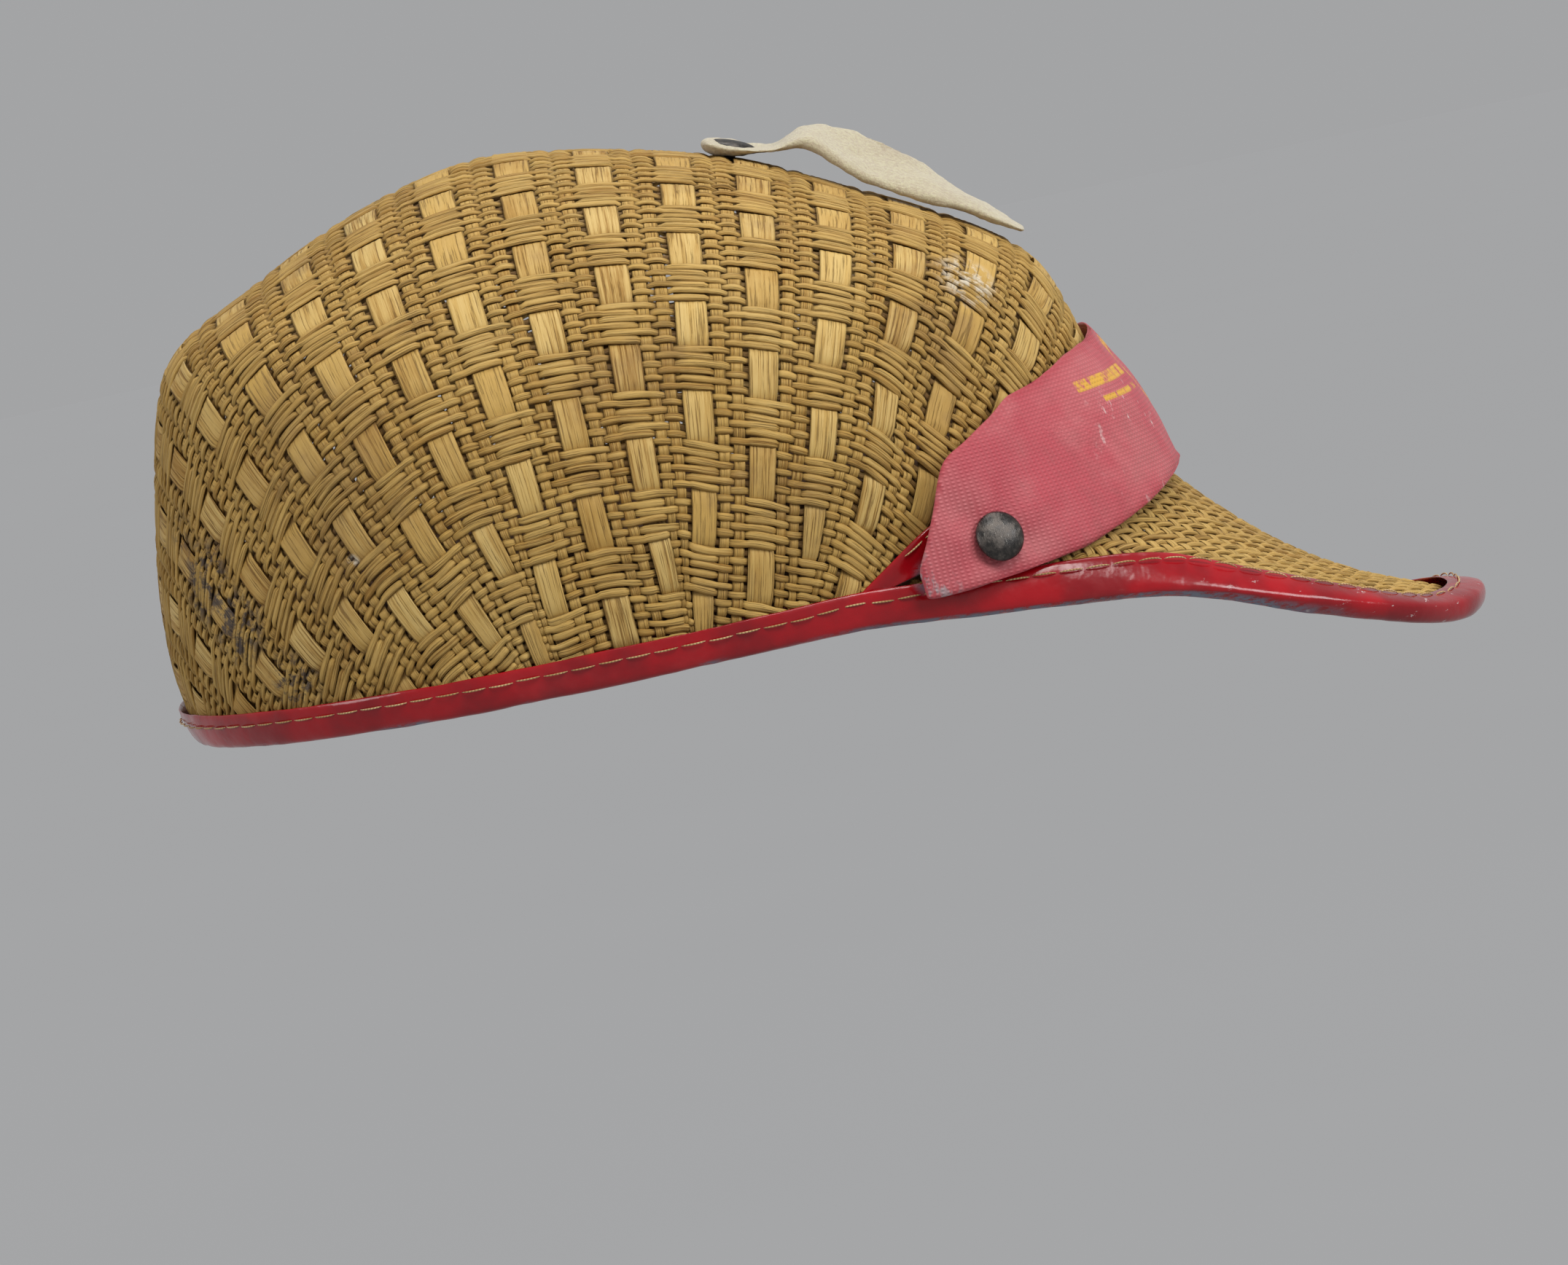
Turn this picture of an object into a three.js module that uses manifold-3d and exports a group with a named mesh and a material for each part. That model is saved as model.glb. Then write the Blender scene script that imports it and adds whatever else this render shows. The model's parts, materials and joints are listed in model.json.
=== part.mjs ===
// Woven straw peaked cap with a bound edge, a removable front band on two press studs,
// and a felt strip riveted to the crown.
// Millimetres. +X forward through the peak, +Y the wearer's left, +Z up.
// The origin is the middle of the head opening, in the plane of the hem.

import * as THREE from 'three';
import Module from 'manifold-3d';

const wasm = await Module();
wasm.setup();

const DEGREES = Math.PI / 180;

// ---------- driving dimensions ----------

const CROWN_AXIS_X = -15; // the upright line through the highest point
const FRONT_REACH = 120; // from that line to the front wall
const BACK_REACH = 88;
const SIDE_REACH = 80;
const CROWN_HEIGHT = 108.6;
const PLAN_POWER = 0.92; // below 1 the plan is squarer than an ellipse

const STRAW = 2.2; // thickness of the woven sheet
const GAP = 0.3; // clearance between touching pieces

const SEAM_END = 65.2 * DEGREES; // where the seam between crown and peak meets the hem
const SEAM_RISE = 20.5;
const SEAM_POWER = 5;
const SEAM_WIDTH = 8.8;
const SEAM_CLOTH = 0.8;

const PEAK_TIP_X = 173.5;
const PEAK_SHOULDER = [96, 61];
const PEAK_CORNER_Y = 58;
const PEAK_DROP = 28;
const PEAK_DROOP_LEFT = 7; // the left half hangs lower
const PEAK_ROOT_SLOPE = 52 * DEGREES;
const PEAK_TIP_SLOPE = 8 * DEGREES;
const PEAK_MITRE = 0.5 * STRAW; // leaves room for the bend between crown and peak

const BINDING_HEIGHT = 8.5;
const BINDING_CLOTH = 1;
const BINDING_SLACK = 0.65; // between each leg of the fold and the straw
const BINDING_STITCH_DOWN = 2.7; // from the binding's top edge to its stitching

const THREAD_RADIUS = 0.25;

const BAND_WIDTH = 35.5;
const BAND_CLOTH = 1;
const BAND_END = 58.3 * DEGREES;
const BAND_HINGE = 25 * DEGREES; // the line about which each end peels away
const BAND_LOW_Z = 3.6; // bottom edge at the ends
const BAND_LOW_RISE = 12; // and how much higher it is in front
const BAND_CORNER = 27; // height of the end's upper corner above its bottom edge
const BAND_HINGE_GAP = 1;
const BAND_CLEARANCE = 1.3; // from the fold of the binding to the band's bottom edge

const STUD_SHARE = 0.757; // how far the studs are along the seam from its middle to its end
const STUD_BELOW_SEAM = 7;
const CAP_RADIUS = 5.3;
const CAP_HEIGHT = 2.3;
const SOCKET_RADIUS = 4.2;
const SOCKET_BORE = 2.8;
const SOCKET_DROP = 2;
const BALL_RADIUS = 2.1;
const BALL_HEIGHT = 1.5;
const FLANGE_RADIUS = 3.8;
const FLANGE = 0.7;
const POST_RADIUS = 1.2;
const WASHER_RADIUS = 3.6;
const WASHER = 0.7;

const RIVET_X = 35;
const FELT_WIDTH = 14;
const FELT = 1.6;
const FELT_TAB = 8; // from the rivet to the line where the strip bends
const FELT_LENGTH = 64;

const SWEATBAND_LOW = 3;
const SWEATBAND_TOP = 30;
const SWEATBAND = 1;

// ---------- colours ----------

const STRAW_COLOUR = { color: 0xb08a4c, roughness: 0.75, metalness: 0 };
const BINDING_COLOUR = { color: 0x9e1120, roughness: 0.32, metalness: 0 };
const BAND_COLOUR = { color: 0xb23a4a, roughness: 0.6, metalness: 0 };
const METAL_COLOUR = { color: 0x3b3a38, roughness: 0.45, metalness: 0.9 };
const FELT_COLOUR = { color: 0xd9ceb0, roughness: 0.95, metalness: 0 };
const THREAD_COLOUR = { color: 0xb98d4a, roughness: 0.8, metalness: 0 };
const LEATHER_COLOUR = { color: 0x6b4a2f, roughness: 0.6, metalness: 0 };

// ---------- closed solids from rings ----------

// Drops repeated vertices and the triangles that they flatten.
function weld(points, triangles) {
  const seen = new Map();
  const kept = [];
  const index = points.map((point) => {
    const key = point.toArray().map((value) => value.toFixed(4)).join();
    if (!seen.has(key)) {
      seen.set(key, kept.length / 3);
      kept.push(...point.toArray());
    }
    return seen.get(key);
  });
  const faces = triangles
    .map((triangle) => triangle.map((corner) => index[corner]))
    .filter(([a, b, c]) => a !== b && b !== c && c !== a);
  const geometry = new THREE.BufferGeometry();
  geometry.setAttribute('position', new THREE.Float32BufferAttribute(kept, 3));
  geometry.setIndex(faces.flat());
  return geometry;
}

function signedVolume(geometry) {
  const position = geometry.getAttribute('position');
  const index = geometry.getIndex();
  const corner = [new THREE.Vector3(), new THREE.Vector3(), new THREE.Vector3()];
  let volume = 0;
  for (let i = 0; i < index.count; i += 3) {
    corner.forEach((point, k) => point.fromBufferAttribute(position, index.getX(i + k)));
    volume += corner[0].dot(corner[1].clone().cross(corner[2])) / 6;
  }
  return volume;
}

function facingOut(geometry) {
  if (signedVolume(geometry) < 0) {
    const index = Array.from(geometry.getIndex().array);
    for (let i = 0; i < index.length; i += 3) {
      [index[i], index[i + 1]] = [index[i + 1], index[i]];
    }
    geometry.setIndex(index);
  }
  return geometry;
}

// Each ring is a list of [outer, inner] point pairs across the sheet at one station.
function sheetSolid(rings, closed) {
  const pairs = rings[0].length;
  const size = 2 * pairs;
  const points = rings.flatMap((ring) => [
    ...ring.map((pair) => pair[0]),
    ...ring.map((pair) => pair[1]).reverse(),
  ]);
  const triangles = [];
  const quad = (a, b, c, d) => triangles.push([a, b, c], [a, c, d]);
  const last = closed ? rings.length : rings.length - 1;
  for (let i = 0; i < last; i += 1) {
    const here = i * size;
    const next = ((i + 1) % rings.length) * size;
    for (let j = 0; j < size; j += 1) {
      const k = (j + 1) % size;
      quad(here + j, next + j, next + k, here + k);
    }
  }
  if (!closed) {
    const end = (rings.length - 1) * size;
    for (let j = 0; j < pairs - 1; j += 1) {
      quad(j, j + 1, size - 2 - j, size - 1 - j);
      quad(end + j, end + size - 1 - j, end + size - 2 - j, end + j + 1);
    }
  }
  return facingOut(weld(points, triangles));
}

function steps(from, to, count) {
  return Array.from({ length: count + 1 }, (_, i) => THREE.MathUtils.lerp(from, to, i / count));
}

function frameAt(point, normal) {
  const turn = new THREE.Quaternion().setFromUnitVectors(new THREE.Vector3(0, 1, 0), normal);
  return new THREE.Matrix4().compose(point, turn, new THREE.Vector3(1, 1, 1));
}

function toManifold(geometry) {
  return new wasm.Manifold(new wasm.Mesh({
    numProp: 3,
    vertProperties: new Float32Array(geometry.getAttribute('position').array),
    triVerts: new Uint32Array(geometry.getIndex().array),
  }));
}

function fromManifold(solid) {
  const mesh = solid.getMesh();
  const geometry = new THREE.BufferGeometry();
  geometry.setAttribute('position', new THREE.Float32BufferAttribute(mesh.vertProperties, 3));
  geometry.setIndex(Array.from(mesh.triVerts));
  return geometry;
}

// Cuts a round hole of the given radius along a frame's Y axis.
function punch(geometry, frame, radius) {
  const sides = 14;
  const length = 16;
  const ring = (angle) => [length, -length].map((y) => new THREE.Vector3(
    radius * Math.cos(angle), y, radius * Math.sin(angle)));
  const turns = Array.from({ length: sides }, (_, i) => ring(2 * Math.PI * i / sides));
  const rings = turns.map(([top, low]) => [
    [new THREE.Vector3(0, length, 0), new THREE.Vector3(0, -length, 0)],
    [top, low],
  ]);
  const cutter = sheetSolid(rings, true).applyMatrix4(frame);
  return fromManifold(toManifold(geometry).subtract(toManifold(facingOut(cutter))));
}

// ---------- the crown ----------

// Wall profiles from the hem to the highest point: [share of the reach, share of the height].
const FRONT_PROFILE = [
  [1.017, 0], [1.01, 0.11], [1.0, 0.2], [0.98, 0.33], [0.948, 0.47], [0.91, 0.585],
  [0.79, 0.685], [0.62, 0.785], [0.42, 0.895], [0.2, 0.96], [0, 1],
];
const SIDE_PROFILE = [
  [0.975, 0], [0.995, 0.11], [1.007, 0.22], [1.005, 0.35], [0.98, 0.48], [0.925, 0.6],
  [0.825, 0.71], [0.675, 0.81], [0.487, 0.898], [0.25, 0.968], [0, 1],
];
const BACK_PROFILE = [
  [0.966, 0], [0.992, 0.075], [1.004, 0.185], [0.99, 0.33], [0.957, 0.48], [0.918, 0.617],
  [0.852, 0.748], [0.665, 0.822], [0.443, 0.91], [0.216, 0.972], [0, 1],
];
const curve = (points) => new THREE.SplineCurve(points.map(([x, y]) => new THREE.Vector2(x, y)));
const FRONT_CURVE = curve(FRONT_PROFILE);
const SIDE_CURVE = curve(SIDE_PROFILE);
const BACK_CURVE = curve(BACK_PROFILE);

// A curve's height at a place along it, for a curve whose places rise.
function heightAlong(line, place) {
  let low = 0;
  let high = 1;
  for (let i = 0; i < 20; i += 1) {
    const middle = (low + high) / 2;
    if (line.getPoint(middle).x < place) low = middle;
    else high = middle;
  }
  return line.getPoint(low).y;
}

// Soft dents and swellings from wear: [angle, height, spread, depth], inward where positive.
const DENTS = [
  [-47 * DEGREES, 40, 9, 5.5],
  [-60 * DEGREES, 38, 13, -2.5],
  [-78 * DEGREES, 62, 20, 1.8],
  [-140 * DEGREES, 52, 24, 1.5],
  [52 * DEGREES, 44, 12, 3],
  [128 * DEGREES, 60, 22, 2],
];

const power = (value, exponent) => Math.sign(value) * Math.abs(value) ** exponent;

function smoothCrown(angle, level) {
  const along = Math.cos(angle);
  const end = (along > 0 ? FRONT_CURVE : BACK_CURVE).getPoint(level);
  const side = SIDE_CURVE.getPoint(level);
  const reach = (along > 0 ? FRONT_REACH : BACK_REACH) * end.x;
  const height = THREE.MathUtils.lerp(side.y, end.y, along * along);
  return new THREE.Vector3(
    CROWN_AXIS_X + reach * power(along, PLAN_POWER),
    SIDE_REACH * side.x * power(Math.sin(angle), PLAN_POWER),
    CROWN_HEIGHT * height,
  );
}

// The level at which the wall reaches a height.
function levelAt(angle, height) {
  let low = 0;
  let high = 1;
  for (let i = 0; i < 30; i += 1) {
    const middle = (low + high) / 2;
    if (smoothCrown(angle, middle).z < height) low = middle;
    else high = middle;
  }
  return (low + high) / 2;
}

const DENT_CENTRES = DENTS.map(([angle, height, spread, depth]) => ({
  centre: smoothCrown(angle, levelAt(angle, height)),
  spread,
  depth,
}));

function crownPoint(angle, level) {
  const point = smoothCrown(angle, level);
  const inward = new THREE.Vector3(CROWN_AXIS_X, 0, point.z).sub(point).normalize();
  DENT_CENTRES.forEach(({ centre, spread, depth }) => {
    const away = point.distanceTo(centre) / spread;
    point.addScaledVector(inward, depth * Math.exp(-away * away));
  });
  return point;
}

// The outward normal of a surface given by two parameters.
function normalOf(surface, u, v, inside) {
  const small = 1e-3;
  const acrossU = surface(u + small, v).sub(surface(u - small, v));
  const acrossV = surface(u, Math.min(v + small, 1)).sub(surface(u, Math.max(v - small, 0)));
  const normal = acrossU.cross(acrossV).normalize();
  return normal.dot(surface(u, v).sub(inside)) < 0 ? normal.negate() : normal;
}

const INSIDE = new THREE.Vector3(CROWN_AXIS_X, 0, CROWN_HEIGHT / 3);

function crownNormal(angle, level, surface = crownPoint) {
  if (level > 0.995) return new THREE.Vector3(0, 0, 1);
  return normalOf(surface, angle, level, INSIDE);
}

const EDGE_Z = GAP + BINDING_CLOTH; // the straw stops here, inside the folded binding
const BINDING_LEG = BINDING_HEIGHT - EDGE_Z;

function seamHeight(angle) {
  const share = Math.min(Math.abs(angle) / SEAM_END, 1);
  return EDGE_Z + SEAM_RISE * (1 - share ** SEAM_POWER);
}

// A point and its normal on the crown, measured up the wall from the seam or the hem.
function crownFromSeam(angle, distance) {
  const level = levelAt(angle, seamHeight(angle) + distance);
  return { point: crownPoint(angle, level), normal: crownNormal(angle, level) };
}

function crownShell() {
  const columns = 56;
  const rows = 16;
  const rings = Array.from({ length: columns }, (_, i) => {
    const angle = 2 * Math.PI * i / columns - Math.PI;
    const first = levelAt(angle, seamHeight(angle) + GAP / 2);
    return steps(first, 1, rows).map((level) => {
      const point = crownPoint(angle, level);
      const half = crownNormal(angle, level).multiplyScalar(STRAW / 2);
      return [point.clone().add(half), point.clone().sub(half)];
    });
  });
  return sheetSolid(rings, true);
}

// ---------- the peak ----------

const HEM_CORNER = smoothCrown(SEAM_END, levelAt(SEAM_END, EDGE_Z));
const PEAK_PLAN = new THREE.CubicBezierCurve(
  new THREE.Vector2(HEM_CORNER.x, HEM_CORNER.y),
  new THREE.Vector2(...PEAK_SHOULDER),
  new THREE.Vector2(PEAK_TIP_X, PEAK_CORNER_Y),
  new THREE.Vector2(PEAK_TIP_X, 0),
);

// Height of the peak's edge: [share of the way to the tip, share of the drop].
const PEAK_EDGE_DROP = curve([
  [0, 0], [0.28, 0.14], [0.51, 0.285], [0.68, 0.58], [0.825, 0.83], [0.937, 1], [1, 0.985],
]);

function peakEdge(share) {
  const plan = PEAK_PLAN.getPoint(1 - Math.abs(share));
  const way = (plan.x - HEM_CORNER.x) / (PEAK_TIP_X - HEM_CORNER.x);
  const drop = heightAlong(PEAK_EDGE_DROP, way) * PEAK_DROP;
  const leftness = Math.max(share, 0);
  const droop = PEAK_DROOP_LEFT * Math.sin(Math.PI * leftness) ** 2;
  return new THREE.Vector3(plan.x, Math.sign(share) * plan.y, EDGE_Z - drop - droop);
}

function slopedStep(outward, slope, length) {
  return outward.clone().multiplyScalar(length * Math.cos(slope))
    .setZ(-length * Math.sin(slope));
}

// share runs from -1 at the right temple to 1 at the left; out from 0 at the seam to 1.
function peakPoint(share, out) {
  const side = Math.min(Math.abs(share), 1);
  const angle = share * SEAM_END;
  const root = crownPoint(angle, levelAt(angle, seamHeight(angle)));
  const edge = peakEdge(Math.sign(share) * side);
  const outward = edge.clone().sub(root).setZ(0).normalize();
  const length = edge.distanceTo(root);
  const rootSlope = THREE.MathUtils.lerp(PEAK_ROOT_SLOPE, Math.PI / 2, side ** 1.5);
  const tipSlope = THREE.MathUtils.lerp(PEAK_TIP_SLOPE, Math.PI / 2, side ** 1.2);
  const bezier = new THREE.CubicBezierCurve3(
    root,
    root.clone().add(slopedStep(outward, rootSlope, 0.36 * length)),
    edge.clone().sub(slopedStep(outward, tipSlope, 0.36 * length)),
    edge,
  );
  return bezier.getPoint(out);
}

const UNDER_PEAK = new THREE.Vector3(60, 0, -60);

function peakNormal(share, out) {
  return normalOf(peakPoint, share, out, UNDER_PEAK);
}

function peakFromSeam(share, distance) {
  const length = peakPoint(share, 0).distanceTo(peakPoint(share, 1));
  const out = Math.min(distance / length, 1);
  return { point: peakPoint(share, out), normal: peakNormal(share, out) };
}

const PEAK_END = 0.955; // the straw stops inside the binding
const PEAK_SHARES = steps(-1, 1, 36);

// From the peak's edge to the seam, square to the edge.
function squareDepth(share) {
  const ruling = peakPoint(share, 0).sub(peakPoint(share, 1));
  const tangent = peakPoint(share + 0.01, 1).sub(peakPoint(share - 0.01, 1)).normalize();
  return ruling.addScaledVector(tangent, -ruling.dot(tangent)).length();
}

// How far along the peak to be a distance in from its edge, square to it.
function inFromEdge(share, distance) {
  return 1 - distance / squareDepth(share);
}

// Where the peak narrows to a depth on its way to the temple.
function shareOfDepth(depth) {
  let share = 0.5;
  while (share < 0.99 && squareDepth(share) > depth) share += 0.002;
  return share;
}

function peakShell() {
  const shares = PEAK_SHARES.filter((share) => Math.abs(share) < PEAK_END - 0.02);
  const rings = [-PEAK_END, ...shares, PEAK_END].map((share) => {
    const length = peakPoint(share, 0).distanceTo(peakPoint(share, 1));
    const first = (GAP / 2 + PEAK_MITRE) / length;
    const bound = Math.max(inFromEdge(share, BINDING_LEG), first + 0.2);
    return [...steps(first, bound, 6), 1].map((out) => {
      const point = peakPoint(share, out);
      const half = peakNormal(share, out).multiplyScalar(STRAW / 2);
      return [point.clone().add(half), point.clone().sub(half)];
    });
  });
  return sheetSolid(rings, false);
}

// ---------- the bound edge ----------

// Stations round the hem and the peak's edge, each with its inward and outward directions.
function edgeStations() {
  const hem = steps(SEAM_END, 2 * Math.PI - SEAM_END, 48).slice(1, -1).map((angle) => {
    const level = levelAt(angle, EDGE_Z);
    return {
      point: crownPoint(angle, level),
      normal: crownNormal(angle, level),
      towards: crownPoint(angle, level + 0.1),
      angle,
    };
  });
  const peak = PEAK_SHARES.map((share) => {
    const near = THREE.MathUtils.clamp(share, -0.97, 0.97);
    const towards = peakPoint(near, 0.9);
    return { point: peakPoint(share, 1), normal: peakNormal(near, 1), towards, share };
  });
  const loop = [...peak, ...hem];
  const wrap = (i) => loop[(i + loop.length) % loop.length];
  const smooth = loop.map((_, i) => {
    const normal = new THREE.Vector3();
    [-2, -1, 0, 1, 2].forEach((k) => normal.add(wrap(i + k).normal));
    return normal.normalize();
  });
  return loop.map(({ point, towards, share, angle }, i) => {
    const tangent = wrap(i + 1).point.clone().sub(wrap(i - 1).point).normalize();
    const normal = smooth[i].clone().addScaledVector(tangent, -smooth[i].dot(tangent)).normalize();
    const inward = tangent.clone().cross(normal).normalize();
    if (inward.dot(towards.clone().sub(point)) < 0) inward.negate();
    return { point, normal, inward, share, angle };
  });
}

const EDGE = edgeStations();

// Between these two shares the binding leaves the peak for the hem.
const TEMPLE = [shareOfDepth(1.24 * BINDING_LEG), shareOfDepth(0.6 * BINDING_LEG)];

// A point on the binding: outside the sheet by one distance, up from its edge by another.
function atEdge({ point, normal, inward, share, angle }, outside, up) {
  const straight = point.clone().addScaledVector(normal, outside).addScaledVector(inward, up);
  if (up <= 0) return straight;
  if (angle !== undefined) {
    const level = levelAt(angle, EDGE_Z + up * inward.z);
    return crownPoint(angle, level).addScaledVector(crownNormal(angle, level), outside);
  }
  if (Math.abs(share) >= TEMPLE[1]) return straight;
  const out = inFromEdge(share, up);
  const curved = peakPoint(share, out).addScaledVector(peakNormal(share, out), outside);
  return curved.lerp(straight, THREE.MathUtils.smoothstep(Math.abs(share), ...TEMPLE));
}

function edgeBinding() {
  const inner = STRAW / 2 + BINDING_SLACK;
  const outer = inner + BINDING_CLOTH;
  const top = BINDING_LEG;
  const half = [
    [outer, top, inner, top],
    [outer, 0, inner, 0],
    [outer * 0.6, -0.75 * EDGE_Z, inner * 0.6, -0.8 * GAP],
  ];
  const bottom = [0, -EDGE_Z, 0, -GAP];
  const mirror = half.map(([a, b, c, d]) => [-a, b, -c, d]).reverse();
  const section = [...half, bottom, ...mirror];
  return sheetSolid(EDGE.map((station) => section.map(([a, b, c, d]) => [
    atEdge(station, a, b),
    atEdge(station, c, d),
  ])), true);
}

// A six-sided thread through points with normals.
function thread(stations, closed) {
  const rings = stations.map(({ point, normal, across }) => [-1, 0, 1].map((k) => {
    const side = across.clone().multiplyScalar(k * THREAD_RADIUS);
    const lift = normal.clone().multiplyScalar(THREAD_RADIUS * (k === 0 ? 1 : 0.5));
    return [point.clone().add(side).add(lift), point.clone().add(side).sub(lift)];
  }));
  return sheetSolid(rings, closed);
}

function edgeStitching() {
  const out = STRAW / 2 + BINDING_SLACK + BINDING_CLOTH + GAP + THREAD_RADIUS;
  const up = BINDING_LEG - BINDING_STITCH_DOWN;
  return thread(EDGE.map((station) => ({
    point: atEdge(station, out, up),
    normal: station.normal,
    across: station.inward,
  })), true);
}

// ---------- the strip over the seam ----------

const SEAM_UNDER = STRAW / 2 + GAP;

function seamRow(share, distance, lift) {
  const angle = share * SEAM_END;
  const upper = crownFromSeam(angle, Math.max(distance, 0));
  const lower = peakFromSeam(share, Math.max(-distance, 0));
  const place = distance > 0 ? upper : lower;
  const normal = distance === 0
    ? upper.normal.clone().add(lower.normal).normalize()
    : place.normal;
  return place.point.clone().addScaledVector(normal, lift);
}

function seamLowest(share) {
  const depth = peakPoint(share, 0).z - peakPoint(share, 1).z;
  return Math.max(-SEAM_WIDTH / 2, BINDING_HEIGHT + GAP - depth);
}

function seamReach() {
  let share = 0.8;
  while (SEAM_WIDTH / 2 - seamLowest(share) > 1.2) share += 0.002;
  return share;
}

function seamStrip() {
  const reach = seamReach();
  const top = SEAM_WIDTH / 2;
  const rings = steps(-reach, reach, 34).map((share) => {
    const low = seamLowest(share);
    const rows = low < -1 ? [low, low / 2, 0, top / 2, top] : steps(low, top, 4);
    return rows.map((distance) => [
      seamRow(share, distance, SEAM_UNDER + SEAM_CLOTH),
      seamRow(share, distance, SEAM_UNDER),
    ]);
  });
  return sheetSolid(rings, false);
}

function seamStitching() {
  const lift = SEAM_UNDER + SEAM_CLOTH + GAP + THREAD_RADIUS;
  const reach = seamReach() - 0.06;
  const stations = steps(-reach, reach, 34).map((share) => {
    const angle = share * SEAM_END;
    const { point, normal } = crownFromSeam(angle, SEAM_WIDTH / 2 - 1.3);
    return {
      point: point.addScaledVector(normal, lift),
      normal,
      across: new THREE.Vector3(0, 0, 1).addScaledVector(normal, -normal.z).normalize(),
    };
  });
  return thread(stations, false);
}

// ---------- the front band ----------

// The most that the band stands off the wall along its bottom edge, clear of the binding,
// and along its top edge; the curves are [share of the way from front to end, share of the most].
const BAND_OFF_LOW = 0.93 * BINDING_HEIGHT + STRAW / 2 + BINDING_SLACK + BINDING_CLOTH
  + BAND_CLEARANCE;
const BAND_OFF_TOP = 4.6;
const LOW_CURVE = curve([[0, 0.85], [0.4, 0.97], [0.75, 1], [0.9, 0.88], [1, 0.76]]);
const TOP_CURVE = curve([[0, 0.52], [0.4, 0.7], [0.75, 1], [0.9, 0.95], [1, 0.85]]);
const SQUARE_END = 0.66; // share of the band that keeps its full width
const CORNER_AT = 0.885; // where the end's upper corner is

function bandTopShare(side) {
  const corner = BAND_CORNER / BAND_WIDTH;
  if (side <= SQUARE_END) return 1;
  if (side <= CORNER_AT) {
    return THREE.MathUtils.mapLinear(side, SQUARE_END, CORNER_AT, 1, corner);
  }
  return THREE.MathUtils.mapLinear(side, CORNER_AT, 1, corner, 0.17);
}

// up runs from 0 at the bottom edge to 1 at the top of the full width.
function bandPoint(angle, up) {
  const side = Math.abs(angle) / BAND_END;
  const front = Math.cos(Math.min(side, 1) * Math.PI / 2) ** 2.2;
  const low = BAND_OFF_LOW * heightAlong(LOW_CURVE, side);
  const top = BAND_OFF_TOP * heightAlong(TOP_CURVE, side);
  const lean = low - top + 8 * front;
  const rise = up * Math.sqrt(BAND_WIDTH ** 2 - lean ** 2);
  const height = BAND_LOW_Z + BAND_LOW_RISE * front + rise;
  const wall = smoothCrown(angle, levelAt(angle, height));
  const outward = crownNormal(angle, levelAt(angle, height), smoothCrown).setZ(0).normalize();
  const flare = 4 * up * (1 - up) * 0.6 * front;
  return wall.addScaledVector(outward, THREE.MathUtils.lerp(low, top, up) + flare);
}

function bandNormal(angle, up) {
  return normalOf(bandPoint, angle, up, INSIDE);
}

function bandRing(angle) {
  const top = bandTopShare(Math.abs(angle) / BAND_END);
  return steps(0, top, 5).map((up) => {
    const point = bandPoint(angle, up);
    const half = bandNormal(angle, up).multiplyScalar(BAND_CLOTH / 2);
    return [point.clone().add(half), point.clone().sub(half)];
  });
}

function bandMiddle() {
  return sheetSolid(steps(-BAND_HINGE, BAND_HINGE, 14).map(bandRing), false);
}

// side is -1 for the wearer's right and 1 for the left.
function bandFlap(side) {
  const first = BAND_HINGE + BAND_HINGE_GAP / 110;
  const corners = [SQUARE_END, CORNER_AT].map((share) => share * BAND_END);
  const angles = [
    ...steps(first, corners[0], 5),
    ...steps(corners[0], corners[1], 5).slice(1),
    ...steps(corners[1], BAND_END, 3).slice(1),
  ];
  return sheetSolid(angles.map((angle) => bandRing(side * angle)), false);
}

// ---------- the press studs ----------

// Where an axis through the seat crosses the band.
function crossBand(seat, axis, side) {
  let best = null;
  steps(0.5, 0.95, 180).forEach((share) => {
    steps(0.05, 0.7, 130).forEach((up) => {
      const angle = side * share * BAND_END;
      const point = bandPoint(angle, up);
      const miss = point.clone().sub(seat.point).cross(axis).length();
      if (!best || miss < best.miss) best = { miss, angle, up, point };
    });
  });
  return { point: best.point, normal: bandNormal(best.angle, best.up) };
}

// The stud stands halfway between square to the peak and square to the band.
function placeStud([name, side]) {
  const seat = peakFromSeam(side * STUD_SHARE, STUD_BELOW_SEAM);
  const over = crossBand(seat, seat.normal, side);
  const axis = seat.normal.clone().add(over.normal).normalize();
  const { point } = crossBand(seat, axis, side);
  return { name, side, seat: { point: seat.point, normal: axis }, band: { point, normal: axis } };
}

function lathe(profile) {
  const points = profile.map(([radius, height]) => new THREE.Vector2(radius, height));
  return new THREE.LatheGeometry(points, 16);
}

const dome = (radius, height) => steps(90, 0, 4).map((angle) => [
  radius * Math.cos(angle * DEGREES),
  height * Math.sin(angle * DEGREES),
]);

// A domed cap whose shank goes down through the cloth.
function capShape(depth) {
  const rim = 0.4;
  return lathe([
    [0, rim + CAP_HEIGHT - rim],
    ...dome(CAP_RADIUS, CAP_HEIGHT - rim).slice(1).map(([r, h]) => [r, h + rim]),
    [CAP_RADIUS, 0],
    [POST_RADIUS, 0],
    [POST_RADIUS, -depth],
    [0, -depth],
  ].reverse());
}

// The spring socket on the band's inner side: closed above, open towards the ball.
function socketShape(drop) {
  const roof = 0.6;
  const shank = POST_RADIUS + GAP;
  return lathe([
    [shank, 0],
    [SOCKET_RADIUS, 0],
    [SOCKET_RADIUS, -drop],
    [SOCKET_BORE, -drop],
    [SOCKET_BORE, -roof],
    [shank, -roof],
    [shank, 0],
  ].reverse());
}

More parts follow.
